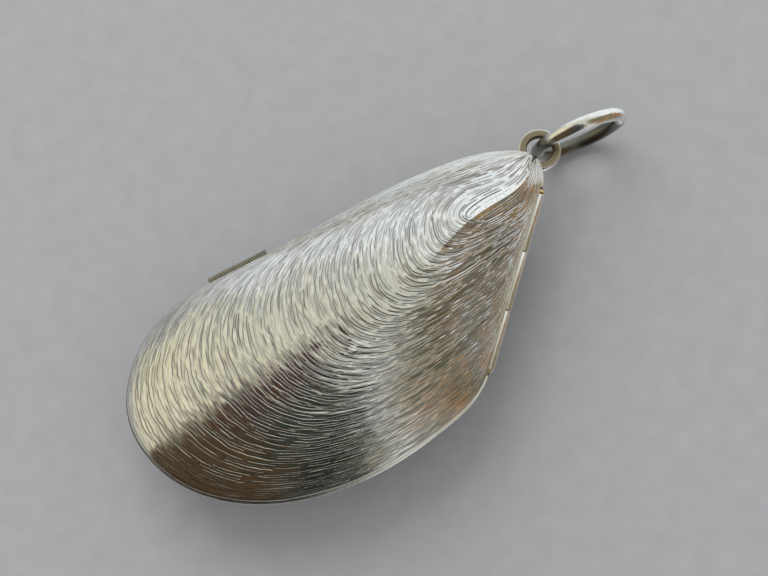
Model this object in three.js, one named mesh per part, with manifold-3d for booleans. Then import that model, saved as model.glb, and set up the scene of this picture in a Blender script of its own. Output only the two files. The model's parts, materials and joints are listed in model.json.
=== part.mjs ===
// Vinaigrette: a small silver box in the form of a mussel shell, 44 mm long.
// Two domed valves meet on a level parting plane. The upper one is a lid, hinged on the
// straight dorsal margin. Inside the base a pierced grille closes over a sponge.
// A flat eye on the pointed tip carries a loose suspension ring.
// Units are millimetres. +X runs along the shell to its tip, +Y to the ventral side where
// the thumbpiece is, +Z up. The origin is the small flat worn on the belly of the base.

import * as THREE from 'three';
import { mergeVertices } from 'three/addons/utils/BufferGeometryUtils.js';
import Module from 'manifold-3d';

const wasm = await Module();
wasm.setup();

// Outline of the base, seen from above, measured from the tip of the shell.
const shell_length = 44.3;
const ventral_reach = 7.85;
const dorsal_reach = 14.55;
const shoulder_back = 7.2;
const shoulder_reach = 4.75;
const ventral_back = 25.5;
const ventral_heading = 171;
const far_shoulder_back = 3.3;
const far_shoulder_reach = 6.4;
const far_end_drop = 0.2;
const dorsal_back = 24.0;
const hinge_margin_back = 1.3;
const hinge_margin_drop = 2.36;
const hinge_margin_length = 18.0;
const hinge_heading = 35.9;

// The two valves.
const valve_depth = 6.5;
const wall = 0.5;
const rim_height = 0.45;
const lid_step = 0.15;
const closing_gap = 0.08;
const crown_back = 21.5;
const crown_drop = 3.0;
const crown_fullness = 0.75;
const crown_half_length = 21.0;
const crown_half_width = 11.3;
const soft_share = 0.15;
const sharp_share = 0.8;
const rest_flat_depth = 0.1;

// The lid's hinge: tubes on a pin along the straight margin.
const hinge_axis_inset = 0.12;
const knuckle_count = 3;
const knuckle_length = 5.6;
const knuckle_gap = 0.12;
const knuckle_radius = 0.42;
const pin_radius = 0.2;
const pin_clearance = 0.05;
const hinge_start = 0.95;
const pin_head_radius = 0.4;
const pin_head_length = 0.4;
const pin_crown_radius = 0.24;
const pin_tail = 0.2;
const bearer_thickness = 0.42;
const bearer_height = 0.36;

// The lip, ledge and grille inside the base.
const mouth_tip_back = 3.8;
const bezel_thickness = 0.4;
const lip_height = 0.4;
const bezel_depth = 0.45;
const ledge_width = 1.2;
const ledge_thickness = 0.35;
const grille_thickness = 0.3;
const grille_axis_inset = 1.85;
const grille_corner_back = 2.6;
const grille_knuckle_radius = 0.34;
const grille_pin_radius = 0.14;
const grille_knuckle_count = 3;
const grille_knuckle_length = 1.7;
const grille_hinge_start = 7.6;
const grille_leaf_thickness = 0.2;
const grille_leaf_reach = 1.5;
const lift_length = 2.4;
const lift_width = 0.9;
const lift_thickness = 0.25;
const lift_inset = 0.1;
const grille_hole_radius = 0.5;
const grille_hole_pitch = 2.6;
const grille_border = 1.2;
const grille_web = 0.45;
const petal_count = 6;
const petal_width = 1.3;
const rosette_bore = 0.7;
const near_rosette = { back: 14.2, reach: -1.6, radius: 2.9 };
const far_rosette = { before_end: 9.3, reach: -2.2, radius: 4.0 };
const middle_rosette = { reach: -3.4, radius: 4.6 };

// The sponge in the well.
const sponge_margin = 0.5;

// The thumbpiece on the lid's ventral edge.
const thumb_length = 5.7;
const thumb_back = 30.7;
const thumb_reach = 0.3;
const thumb_height = 0.5;
const thumb_ribs = 13;
const rib_depth = 0.1;

// The eye and the ring.
const eye_forward = 0.7;
const eye_side = 0.6;
const eye_outer_radius = 1.95;
const eye_bore_radius = 1.2;
const eye_thickness = 0.7;
const eye_edge_round = 0.15;
const ring_outer_radius = 4.75;
const ring_wire_radius = 0.64;
const ring_play = 0.1;
const ring_seat = -5;
const ring_yaw = -15;
const ring_lean = 6;

// Gaps left where pieces are soldered, and where they move past each other.
const solder_gap = 0.06;
const running_gap = 0.1;

// How far a cutting block reaches past what it cuts.
const past = 1;

// Fineness of the faceted surfaces.
const edge_steps = [6, 10, 10, 6, 14, 5, 6, 4];
const valve_loops = 10;
const tube_sides = 20;
const wire_sides = 12;
const ring_sides = 44;
const hole_sides = 8;
const merge_distance = 1e-4;

const degree = Math.PI / 180;

// Small vector helpers.
const at = (x, y) => new THREE.Vector2(x, y);
const heading = (degrees) => at(Math.cos(degrees * degree), Math.sin(degrees * degree));
const leftOf = (v) => at(-v.y, v.x);
const ahead = (point, direction, reach) => point.clone().addScaledVector(direction, reach);

// The outline runs anticlockwise from the tip. Each knot has a place, a heading and two
// curve handles, whose reach is a share of the distance to the knot before or after it.
const hinge_way = heading(hinge_heading);
const hinge_inward = leftOf(hinge_way);
const hinge_near = at(-hinge_margin_back, -hinge_margin_drop);
const hinge_axis = ahead(hinge_near, hinge_inward, hinge_axis_inset);
const hinge_far = ahead(hinge_near, hinge_way, -hinge_margin_length);
const far_shoulder = at(far_shoulder_back - shell_length, far_shoulder_reach);
const knots = [
  { place: at(0, 0), way: 90, before: 0.25, after: 0.15 },
  { place: at(-shoulder_back, shoulder_reach), way: 165, before: 0.475, after: 0.43 },
  { place: at(-ventral_back, ventral_reach), way: ventral_heading, before: 0.42, after: 0.36 },
  { place: far_shoulder, way: 218.5, before: 0.41, after: 0.415 },
  { place: at(-shell_length, -far_end_drop), way: 270, before: 0.335, after: 0.334 },
  { place: at(-dorsal_back, -dorsal_reach), way: 360, before: 0.45, after: 0.385 },
  { place: hinge_far, way: hinge_heading, before: 0.361, after: 0.333 },
  { place: hinge_near, way: hinge_heading, before: 0.333, after: 0.2 },
];

// Points round the base's outline, each with its inward normal.
const edge = [];
knots.forEach((knot, index) => {
  const next = knots[(index + 1) % knots.length];
  const span = knot.place.distanceTo(next.place);
  const curve = new THREE.CubicBezierCurve(
    knot.place,
    ahead(knot.place, heading(knot.way), knot.after * span),
    ahead(next.place, heading(next.way), -next.before * span),
    next.place,
  );
  for (let step = 0; step < edge_steps[index]; step += 1) {
    const share = step / edge_steps[index];
    edge.push({ point: curve.getPoint(share), inward: leftOf(curve.getTangent(share)) });
  }
});

// The outline moved inward by a distance, point for point.
function movedIn(distance) {
  return edge.map(({ point, inward }) => ahead(point, inward, distance));
}

// How deep a point lies inside the outline, negative outside it.
function edgeDepth(point) {
  let least = Infinity;
  edge.forEach(({ point: start }, index) => {
    const span = edge[(index + 1) % edge.length].point.clone().sub(start);
    const offset = point.clone().sub(start);
    const along = THREE.MathUtils.clamp(offset.dot(span) / span.lengthSq(), 0, 1);
    const away = ahead(offset, span, -along);
    const side = Math.sign(leftOf(span).dot(away)) || 1;
    if (away.length() < Math.abs(least)) least = side * away.length();
  });
  return least;
}

// The outline moved inward, with the crossed-over points of the narrow tip left out.
function inset(distance) {
  const chord_error = 0.03;
  return movedIn(distance).filter((point) => edgeDepth(point) > distance - chord_error);
}

// How far a point lies inward of the hinge's axis, and how far back along it.
const fromHinge = (point) => point.clone().sub(hinge_axis).dot(hinge_inward);
const alongHinge = (point) => hinge_axis.clone().sub(point).dot(hinge_way);

// Booleans on closed meshes.
function solidOf(geometry) {
  const bare = geometry.clone();
  bare.deleteAttribute('normal');
  bare.deleteAttribute('uv');
  const merged = mergeVertices(bare, merge_distance);
  const vertProperties = new Float32Array(merged.attributes.position.array);
  const triVerts = new Uint32Array(merged.index.array);
  return new wasm.Manifold(new wasm.Mesh({ numProp: 3, vertProperties, triVerts }));
}

function geometryOf(solid) {
  const mesh = solid.getMesh();
  const geometry = new THREE.BufferGeometry();
  geometry.setAttribute('position', new THREE.BufferAttribute(mesh.vertProperties, 3));
  geometry.setIndex(new THREE.BufferAttribute(mesh.triVerts, 1));
  return geometry;
}

const cut = (body, ...tools) => geometryOf(
  tools.reduce((left, tool) => left.subtract(solidOf(tool)), solidOf(body)),
);
const join = (...bodies) => geometryOf(
  bodies.map(solidOf).reduce((whole, body) => whole.add(body)),
);

// A flat plate between two heights, from an outline and any holes.
function plate(outline, low, high, holes = []) {
  const shape = new THREE.Shape(outline);
  shape.holes = holes.map((hole) => new THREE.Path(hole));
  const geometry = new THREE.ExtrudeGeometry(shape, { depth: high - low, bevelEnabled: false });
  return geometry.translate(0, 0, low);
}

// A block given by its lowest and highest corners.
function block(low, high) {
  const size = new THREE.Vector3().subVectors(high, low);
  const middle = new THREE.Vector3().addVectors(low, high).multiplyScalar(0.5);
  return new THREE.BoxGeometry(size.x, size.y, size.z).translate(middle.x, middle.y, middle.z);
}

// A tube or rod lying along X between two places, turned from a closed profile.
function turned(profile) {
  const points = profile.map(([radius, along]) => at(radius, along));
  return new THREE.LatheGeometry(points, tube_sides).rotateZ(-Math.PI / 2);
}

function tube(bore, radius, start, end) {
  return turned([[bore, start], [radius, start], [radius, end], [bore, end], [bore, start]]);
}

function rod(radius, start, end) {
  return turned([[0, start], [radius, start], [radius, end], [0, end]]);
}

// The domed form of a valve. Its level lines are the outline drawn in toward the crown,
// and they grow rounder on the way, so that a ridge runs in from the tip and softens.
const crown = at(-crown_back, -crown_drop);
const domeRise = (share) => (1 - share ** 2) ** crown_fullness;

function levelLine(outline, share, narrower) {
  const sharp = THREE.MathUtils.smoothstep(share, soft_share, sharp_share);
  return outline.map((target) => {
    const spoke = target.clone().sub(crown);
    const way = spoke.clone().normalize();
    const along = way.x / (crown_half_length - narrower);
    const across = way.y / (crown_half_width - narrower);
    const round = way.divideScalar(Math.hypot(along, across));
    return ahead(crown, round.lerp(spoke, sharp), share);
  });
}

// Rings of points from the parting plane up the rim and over the dome toward the crown.
function domeRings(outline, depth, narrower) {
  const rings = [outline.map((point) => new THREE.Vector3(point.x, point.y, 0))];
  for (let loop = 0; loop < valve_loops; loop += 1) {
    const share = Math.cos((loop / valve_loops) * Math.PI / 2);
    const height = rim_height + depth * domeRise(share);
    rings.push(levelLine(outline, share, narrower).map((point) => (
      new THREE.Vector3(point.x, point.y, height)
    )));
  }
  return rings;
}

// A dome drawn in by a distance all over, as its rings and its crown.
const dome_depth = valve_depth - rim_height;
function dome(step, thinner) {
  const depth = dome_depth - thinner;
  return {
    rings: domeRings(movedIn(step), depth, step),
    top: new THREE.Vector3(crown.x, crown.y, rim_height + depth),
  };
}

// Closed skin over an outer dome and the hollow inside it, or a flat floor without one.
function skin(outer, inner) {
  const positions = [];
  const triangle = (a, b, c) => positions.push(...a.toArray(), ...b.toArray(), ...c.toArray());
  const band = (lower, upper) => {
    lower.forEach((point, index) => {
      const next = (index + 1) % lower.length;
      triangle(point, lower[next], upper[next]);
      triangle(point, upper[next], upper[index]);
    });
  };
  const cap = (ring, top) => {
    ring.forEach((point, index) => triangle(point, ring[(index + 1) % ring.length], top));
  };
  for (let loop = 1; loop < outer.rings.length; loop += 1) {
    band(outer.rings[loop - 1], outer.rings[loop]);
  }
  cap(outer.rings.at(-1), outer.top);
  if (inner) {
    for (let loop = 1; loop < inner.rings.length; loop += 1) {
      band(inner.rings[loop], inner.rings[loop - 1]);
    }
    band(inner.rings[0], outer.rings[0]);
    cap([...inner.rings.at(-1)].reverse(), inner.top);
  } else {
    cap([...outer.rings[0]].reverse(), new THREE.Vector3(crown.x, crown.y, 0));
  }
  const geometry = new THREE.BufferGeometry();
  geometry.setAttribute('position', new THREE.Float32BufferAttribute(positions, 3));
  return mergeVertices(geometry, merge_distance);
}

// A hollow valve standing on the parting plane, drawn in by a step from the base's outline.
const valve = (step) => skin(dome(step, 0), dome(step + wall, wall));

// Turns a valve over, so that it hangs below the parting plane, keeping its faces outward.
function turnedOver(geometry) {
  const flipped = geometry.clone().scale(1, 1, -1);
  const order = flipped.index.array;
  for (let corner = 0; corner < order.length; corner += 3) {
    [order[corner], order[corner + 1]] = [order[corner + 1], order[corner]];
  }
  return flipped;
}

// A solid valve grown by a gap, for cutting what meets it from outside.
const filledValve = (gap) => skin(dome(-gap, -gap));

// The space inside the base, shrunk by a gap, for fitting what lies in it.
const hollow = (gap) => skin(dome(wall + gap, wall + gap));

const fitted = (body, space) => geometryOf(solidOf(body).intersect(solidOf(space)));

// Keeps the part of an outline where a signed depth is positive.
function clipped(outline, depthOf) {
  const kept = [];
  outline.forEach((point, index) => {
    const next = outline[(index + 1) % outline.length];
    const here = depthOf(point);
    const there = depthOf(next);
    if (here >= 0) kept.push(point);
    if (here * there < 0) kept.push(point.clone().lerp(next, here / (here - there)));
  });
  return kept;
}

// Materials, one for each finish.
const finish = (color, roughness, metalness) => ({ color, roughness, metalness });
const silver = finish('#c9c7bf', 0.28, 1);
const tarnished_silver = finish('#a39a83', 0.4, 1);
const gilt = finish('#cfa85a', 0.3, 1);
const sponge_foam = finish('#b58f4f', 0.95, 0);

function piece(name, geometry, look) {
  const mesh = new THREE.Mesh(geometry, new THREE.MeshStandardMaterial(look));
  mesh.name = name;
  return mesh;
}

// Heights of the levels inside the base, down from the parting plane.
const ledge_top = -bezel_depth - solder_gap;
const ledge_bottom = ledge_top - ledge_thickness;
const grille_bottom = ledge_top + running_gap;
const grille_top = grille_bottom + grille_thickness;

// The whole part rests on its belly, below the crown of the base.
const parting_height = valve_depth - rest_flat_depth;

const part = new THREE.Group();
const body = new THREE.Group();
body.position.set(-crown.x, -crown.y, parting_height);
part.add(body);

// The main hinge. Its own frame has X along the axis toward the tip and Y into the shell.
const hinge_span = knuckle_count * knuckle_length + (knuckle_count - 1) * knuckle_gap;
const hinge = new THREE.Group();
hinge.position.set(hinge_axis.x, hinge_axis.y, 0);
hinge.rotation.z = hinge_heading * degree;
hinge.updateMatrix();
body.add(hinge);
const inHingeFrame = (geometry) => geometry.clone().applyMatrix4(hinge.matrix);
const hinge_end = -hinge_start - hinge_span;
const pin_head_start = -hinge_start + knuckle_gap;

// Groove in both walls that the knuckles and the pin's head lie in.
const groove = inHingeFrame(rod(
  knuckle_radius + running_gap,
  hinge_end - pin_tail - running_gap,
  pin_head_start + pin_head_length + running_gap,
));

function makeBaseShell() {
  const below = block(
    new THREE.Vector3(-shell_length, -dorsal_reach, -valve_depth - past),
    new THREE.Vector3(0, dorsal_reach, -parting_height),
  );
  return piece('base_shell', cut(turnedOver(valve(0)), groove, below), silver);
}

function makeLidShell() {
  const lowered_groove = groove.clone().translate(0, 0, -closing_gap);
  return piece('lid_shell', cut(valve(lid_step), lowered_groove), silver);
}

const lid = new THREE.Group();
lid.position.z = closing_gap;
body.add(lid);
body.add(makeBaseShell());
lid.add(makeLidShell());

// Knuckles of the main hinge, the odd ones on the base and the even ones on the lid.
for (let index = 0; index < knuckle_count; index += 1) {
  const start = hinge_end + index * (knuckle_length + knuckle_gap);
  const on_base = index % 2 === 0;
  const name = `${on_base ? 'base' : 'lid'}_knuckle_${Math.floor(index / 2) + 1}`;
  const geometry = tube(
    pin_radius + pin_clearance,
    knuckle_radius,
    start,
    start + knuckle_length,
  );
  hinge.add(piece(name, geometry, on_base ? tarnished_silver : silver));
}

// The pin has a domed head beside the tip and a short riveted tail.
function makeHingePin() {
  const tail = hinge_end - pin_tail;
  const head = pin_head_start;
  return piece('hinge_pin', turned([
    [0, tail],
    [pin_radius, tail],
    [pin_radius, head],
    [pin_head_radius, head],
    [pin_head_radius, head + pin_head_length / 2],
    [pin_crown_radius, head + pin_head_length],
    [0, head + pin_head_length],
  ]), gilt);
}
hinge.add(makeHingePin());

// Strips soldered inside both walls behind the knuckles.
function makeBearer(name, wall_inside, low) {
  const near_wall = wall_inside + solder_gap - hinge_axis_inset;
  return piece(name, block(
    new THREE.Vector3(hinge_end, near_wall, low),
    new THREE.Vector3(-hinge_start, near_wall + bearer_thickness, low + bearer_height),
  ), silver);
}
hinge.add(makeBearer('base_hinge_bearer', wall, -solder_gap - bearer_height));
hinge.add(makeBearer('lid_hinge_bearer', lid_step + wall, closing_gap + solder_gap));

// The lip that the lid closes over. It is open along the hinge and at the narrow tip.
const lip_outer = lid_step + wall + running_gap;
const lip_inner = lip_outer + bezel_thickness;
function makeBezel() {
  const ring = plate(inset(lip_outer), -bezel_depth, lip_height, [inset(lip_inner)]);
  const hinge_room = inHingeFrame(block(
    new THREE.Vector3(hinge_end - bearer_thickness, -wall, -bezel_depth - past),
    new THREE.Vector3(hinge_span, lip_inner + bezel_thickness, lip_height + past),
  ));
  const tip_room = block(
    new THREE.Vector3(-mouth_tip_back, -dorsal_reach, -bezel_depth - past),
    new THREE.Vector3(0, dorsal_reach, lip_height + past),
  );
  return piece('base_bezel', cut(ring, hinge_room, tip_room), gilt);
}
body.add(makeBezel());

// The shelf under the grille follows the wall of the well.
const well = turnedOver(hollow(solder_gap));
const behindTip = (back) => (point) => -back - point.x;
function makeLedge() {
  const outer = clipped(inset(wall + solder_gap), behindTip(mouth_tip_back));
  const inner = clipped(inset(lip_inner + ledge_width), behindTip(mouth_tip_back + ledge_width));
  return piece('grille_ledge', fitted(plate(outer, ledge_bottom, ledge_top, [inner]), well), gilt);
}
body.add(makeLedge());

// The grille's own hinge lies on the ledge, along the main one.
const grille_axis_height = ledge_top + solder_gap + grille_knuckle_radius;
const grille_hinge = new THREE.Group();
grille_hinge.position.set(0, grille_axis_inset, grille_axis_height);
hinge.add(grille_hinge);
const grille_knuckle_step = grille_knuckle_length + knuckle_gap;
const grille_hinge_end = -grille_hinge_start - grille_knuckle_count * grille_knuckle_step;
const grille_bore = grille_pin_radius + pin_clearance;
const grilleKnuckleStart = (index) => grille_hinge_end + index * grille_knuckle_step;

function makeGrilleKnuckle(name, index) {
  const start = grilleKnuckleStart(index);
  const end = start + grille_knuckle_length;
  return piece(name, tube(grille_bore, grille_knuckle_radius, start, end), gilt);
}

// The moving knuckle has a leaf that is soldered on top of the grille.
function makeGrilleLeaf(name, index) {
  const start = grilleKnuckleStart(index);
  const end = start + grille_knuckle_length;
  const leaf_bottom = grille_top + solder_gap - grille_axis_height;
  const leaf = block(
    new THREE.Vector3(start, 0, leaf_bottom),
    new THREE.Vector3(
      end,
      grille_knuckle_radius + grille_leaf_reach,
      leaf_bottom + grille_leaf_thickness,
    ),
  );
  const barrel = rod(grille_knuckle_radius, start, end);
  const bore = rod(grille_bore, start - past, end + past);
  return piece(name, cut(join(barrel, leaf), bore), gilt);
}
grille_hinge.add(makeGrilleKnuckle('grille_base_knuckle_1', 0));
grille_hinge.add(makeGrilleLeaf('grille_leaf_knuckle', 1));
grille_hinge.add(makeGrilleKnuckle('grille_base_knuckle_2', 2));
grille_hinge.add(piece(
  'grille_pin',
  rod(grille_pin_radius, grille_hinge_end - pin_tail, -grille_hinge_start + pin_tail),
  gilt,
));

// The pierced grille: a border of round holes, three rosettes, and small holes between.
const grille_edge = inset(lip_inner + running_gap);
const grille_hinge_side = grille_axis_inset + grille_knuckle_radius + running_gap;

// Room in the dorsal corner, where the grille swings up toward the narrowing lip.
function cornerRoom(point) {
  const back = hinge_margin_length + grille_corner_back - alongHinge(point);
  return back + fromHinge(point) - grille_hinge_side;
}
const grille_sides = [
  (point) => fromHinge(point) - grille_hinge_side,
  behindTip(mouth_tip_back + running_gap),
  cornerRoom,
];
const sideDepth = (point) => Math.min(...grille_sides.map((side) => side(point)));
const grille_outline = grille_sides.reduce(clipped, grille_edge);

// How deep a point lies inside the grille's outline.
function grilleDepth(point) {
  return Math.min(edgeDepth(point) - lip_inner - running_gap, sideDepth(point));
}

function roundHole(centre, radius) {
  return new THREE.Path().absarc(centre.x, centre.y, radius, 0, 2 * Math.PI).getPoints(hole_sides)
    .slice(0, -1);
}

// A petal is an almond between two radii of its rosette.
function petalHole(centre, turn, inner, outer) {
  const way = heading(turn);
  const side = leftOf(way);
  const root = ahead(centre, way, inner);
  const point = ahead(centre, way, outer);
  const middle = ahead(centre, way, (inner + outer) / 2);
  const left = new THREE.QuadraticBezierCurve(root, ahead(middle, side, petal_width), point);
  const right = new THREE.QuadraticBezierCurve(point, ahead(middle, side, -petal_width), root);
  const steps = hole_sides / 2;
  return [...right.getPoints(steps).slice(0, -1), ...left.getPoints(steps).slice(0, -1)];
}

// Points at an even pitch round a closed outline.
function evenly(outline, pitch) {
  const path = new THREE.CurvePath();
  outline.forEach((point, index) => {
    path.add(new THREE.LineCurve(point, outline[(index + 1) % outline.length]));
  });
  return path.getSpacedPoints(Math.round(path.getLength() / pitch)).slice(0, -1);
}

// The middle rosette is centred in the length that the other two leave between them.
const far_rosette_back = shell_length - far_rosette.before_end;
const middle_rosette_start = near_rosette.back + near_rosette.radius;
const middle_rosette_end = far_rosette_back - far_rosette.radius;
const rosettes = [
  near_rosette,
  { ...middle_rosette, back: (middle_rosette_start + middle_rosette_end) / 2 },
  { ...far_rosette, back: far_rosette_back },
];

function grilleHoles() {
  const border_line = grille_sides.reduce(
    (line, side) => clipped(line, (point) => side(point) - grille_border),
    inset(lip_inner + running_gap + grille_border),
  );
  const border = evenly(border_line, grille_hole_pitch);
  const holes = border.map((centre) => roundHole(centre, grille_hole_radius));
  rosettes.forEach(({ back, reach, radius }) => {
    const centre = at(-back, reach);
    holes.push(roundHole(centre, rosette_bore));
    for (let petal = 0; petal < petal_count; petal += 1) {
      const turn = (petal * 360) / petal_count;
      holes.push(petalHole(centre, turn, rosette_bore + grille_web, radius));
    }
  });
  const clear_of_border = 2 * grille_hole_radius + grille_web;
  const clear_of_rosette = grille_hole_radius + grille_web;
  const rows = Math.ceil(shell_length / grille_hole_pitch);
  const row_pitch = grille_hole_pitch * Math.sqrt(3) / 2;
  for (let row = -rows; row <= rows; row += 1) {
    for (let column = 0; column <= rows; column += 1) {
      const shift = (row % 2) / 2;
      const centre = at(-(column + shift) * grille_hole_pitch, row * row_pitch);
      const far_from_rosettes = rosettes.every(({ back, reach, radius }) => (
        centre.distanceTo(at(-back, reach)) > radius + clear_of_rosette
      ));
      const far_from_border = border.every((hole) => centre.distanceTo(hole) > clear_of_border);
      const inside = grilleDepth(centre) > grille_border;
      if (far_from_rosettes && far_from_border && inside) {
        holes.push(roundHole(centre, grille_hole_radius));
      }
    }
  }
  return holes;
}
body.add(piece(
  'grille_plate',
  plate(grille_outline, grille_bottom, grille_top, grilleHoles()),
  gilt,
));

// A small lip on the grille's ventral side for a fingernail.
function ventralAt(x) {
  const index = edge.findIndex(({ point }) => point.x <= x);
  const before = edge[index - 1];
  const after = edge[index];
  const share = (x - before.point.x) / (after.point.x - before.point.x);
  const point = before.point.clone().lerp(after.point, share);
  const inward = leftOf(after.point.clone().sub(before.point)).normalize();
  return { point, inward };
}

function makeGrilleLift() {
  const place = ventralAt(-ventral_back);
  const inset_to_centre = lip_inner + running_gap + lift_inset + lift_width / 2;
  const centre = ahead(place.point, place.inward, inset_to_centre);
  const low = grille_top + solder_gap;
  const geometry = block(
    new THREE.Vector3(-lift_length / 2, -lift_width / 2, low),
    new THREE.Vector3(lift_length / 2, lift_width / 2, low + lift_thickness),
  );
  geometry.rotateZ(Math.atan2(-place.inward.x, place.inward.y));
  return piece('grille_lift', geometry.translate(centre.x, centre.y, 0), gilt);
}
body.add(makeGrilleLift());

// The sponge fills the well below the ledge.
function makeSponge() {
  const space = turnedOver(hollow(sponge_margin));
  const top = ledge_bottom - solder_gap;
  const above = block(
    new THREE.Vector3(-shell_length, -dorsal_reach, top),
    new THREE.Vector3(shell_length, dorsal_reach, valve_depth),
  );
  return piece('sponge', cut(space, above), sponge_foam);
}
body.add(makeSponge());

// The milled thumbpiece follows the lid's ventral edge.
function makeThumbpiece() {
  const inner = [];
  const outer = [];
  const steps = 2 * thumb_ribs;
  for (let step = 0; step <= steps; step += 1) {
    const place = ventralAt(-thumb_back + (thumb_length * step) / steps);
    const proud = thumb_reach - (step % 2 === 0 ? rib_depth : 0);
    inner.push(ahead(place.point, place.inward, lid_step - solder_gap));
    outer.push(ahead(place.point, place.inward, -proud));
  }
  return piece('thumbpiece', plate([...outer, ...inner.reverse()], 0, thumb_height), silver);
}
lid.add(makeThumbpiece());

// The eye is a flat ring in section, lying level, with its edges rounded.
const eye_height = -solder_gap - eye_thickness / 2;
function makeEye() {
  const half = eye_thickness / 2;
  const round = eye_edge_round;
  const profile = [
    [eye_bore_radius, round - half],
    [eye_bore_radius + round, -half],
    [eye_outer_radius - round, -half],
    [eye_outer_radius, round - half],
    [eye_outer_radius, half - round],
    [eye_outer_radius - round, half],
    [eye_bore_radius + round, half],
    [eye_bore_radius, half - round],
    [eye_bore_radius, round - half],
  ].map(([radius, height]) => at(radius, height));
  const ring = new THREE.LatheGeometry(profile, ring_sides).rotateX(Math.PI / 2);
  ring.translate(eye_forward, eye_side, eye_height);
  return piece('suspension_eye', cut(ring, turnedOver(filledValve(solder_gap))), tarnished_silver);
}
body.add(makeEye());

// The suspension ring hangs round the eye's far side and leans a little. Its lowest point
// touches the table. It swings about the place where it sits on the eye.
const eye_wire_half = (eye_outer_radius - eye_bore_radius) / 2;
const ring_mean_radius = ring_outer_radius - ring_wire_radius;
const ring_reach = ring_mean_radius - ring_wire_radius - eye_wire_half - ring_play;
const lean_cosine = Math.cos(ring_lean * degree);
const ring_drop = (parting_height + eye_height - ring_wire_radius) / lean_cosine - ring_mean_radius;
const ring_out = Math.sqrt(ring_reach ** 2 - ring_drop ** 2);
const eye_centre = at(eye_forward, eye_side);
const ring_pivot = ahead(eye_centre, heading(ring_seat), eye_bore_radius + eye_wire_half);
const ring_swing = new THREE.Group();
ring_swing.position.set(ring_pivot.x, ring_pivot.y, eye_height);
ring_swing.rotation.set(ring_lean * degree, 0, ring_yaw * degree, 'ZYX');
body.add(ring_swing);
const wire_ring = new THREE.TorusGeometry(ring_mean_radius, ring_wire_radius, wire_sides, ring_sides);
wire_ring.rotateX(Math.PI / 2).translate(ring_out, 0, -ring_drop);
ring_swing.add(piece('suspension_ring', wire_ring, silver));

export default part;
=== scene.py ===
# %% [markdown]
# # A silver mussel-shell vinaigrette
# A vinaigrette is a tiny box for a sponge soaked in aromatic vinegar. This one is raised in
# silver as a mussel shell, 44 mm long. Two thin valves are hinged on the straight margin,
# the surface is engraved with hundreds of fine strokes, and a ring hangs in an eye at the tip.
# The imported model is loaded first. It is the fixed frame, and every piece here sits in it.

# %% Load the frame
import json
import math

import bpy
import numpy as np
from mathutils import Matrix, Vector


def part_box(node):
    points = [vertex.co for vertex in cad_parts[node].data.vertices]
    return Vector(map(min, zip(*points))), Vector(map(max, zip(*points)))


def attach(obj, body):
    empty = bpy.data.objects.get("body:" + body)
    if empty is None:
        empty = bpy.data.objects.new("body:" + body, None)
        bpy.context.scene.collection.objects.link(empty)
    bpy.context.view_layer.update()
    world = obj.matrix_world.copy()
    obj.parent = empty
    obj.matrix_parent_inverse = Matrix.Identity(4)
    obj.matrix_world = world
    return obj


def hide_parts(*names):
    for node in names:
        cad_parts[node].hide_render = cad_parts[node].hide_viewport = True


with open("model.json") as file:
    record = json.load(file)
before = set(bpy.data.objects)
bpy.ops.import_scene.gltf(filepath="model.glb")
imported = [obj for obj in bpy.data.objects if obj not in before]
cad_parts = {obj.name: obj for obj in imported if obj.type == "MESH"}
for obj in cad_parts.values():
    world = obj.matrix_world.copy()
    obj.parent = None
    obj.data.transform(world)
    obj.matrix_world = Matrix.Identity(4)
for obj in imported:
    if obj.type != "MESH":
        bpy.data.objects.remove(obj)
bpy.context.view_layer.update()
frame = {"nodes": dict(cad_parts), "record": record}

# %% [markdown]
# ## Sizes
# A silversmith works from an outline and a depth. All sizes are in millimetres, measured
# from the tip of the shell, with the two valves meeting on a level parting plane.

# %% Sizes of the outline and the valves
MM = 0.001
CROWN = np.array([-21.5, -3.0])
PARTING_HEIGHT = 6.4
LID_LIFT = 0.08
LID_STEP = 0.15
WALL = 0.5
RIM_HEIGHT = 0.45
VALVE_DEPTH = 6.5
CROWN_HALF_LENGTH = 21.0
CROWN_HALF_WIDTH = 11.3
CROWN_FULLNESS = 0.75
SOFT_SHARE = 0.15
SHARP_SHARE = 0.8
HINGE_HEADING = 35.9
HINGE_NEAR = np.array([-1.3, -2.36])
HINGE_MARGIN = 18.0
HINGE_INSET = 0.12


def heading(degrees):
    """A unit vector in the plan."""
    turn = math.radians(degrees)
    return np.array([math.cos(turn), math.sin(turn)])


HINGE_WAY = heading(HINGE_HEADING)
HINGE_INWARD = heading(HINGE_HEADING + 90)
HINGE_AXIS = HINGE_NEAR + HINGE_INSET * HINGE_INWARD

# Each knot of the outline: place, heading, and the reach of its handles as shares.
KNOTS = [
    ((0, 0), 90, 0.25, 0.15),
    ((-7.2, 4.75), 165, 0.475, 0.43),
    ((-25.5, 7.85), 171, 0.42, 0.36),
    ((-41.0, 6.4), 218.5, 0.41, 0.415),
    ((-44.3, -0.2), 270, 0.335, 0.334),
    ((-24.0, -14.55), 360, 0.45, 0.385),
    (tuple(HINGE_NEAR - HINGE_MARGIN * HINGE_WAY), HINGE_HEADING, 0.361, 0.333),
    (tuple(HINGE_NEAR), HINGE_HEADING, 0.333, 0.2),
]

# %% [markdown]
# ## The outline as a curve
# The outline is eight Bezier curves in a closed chain, as a draughtsman would draw it. It is
# sampled finely once. A point inside it is then found by how far along the edge it lies and
# how far in from the edge it is moved.


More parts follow.
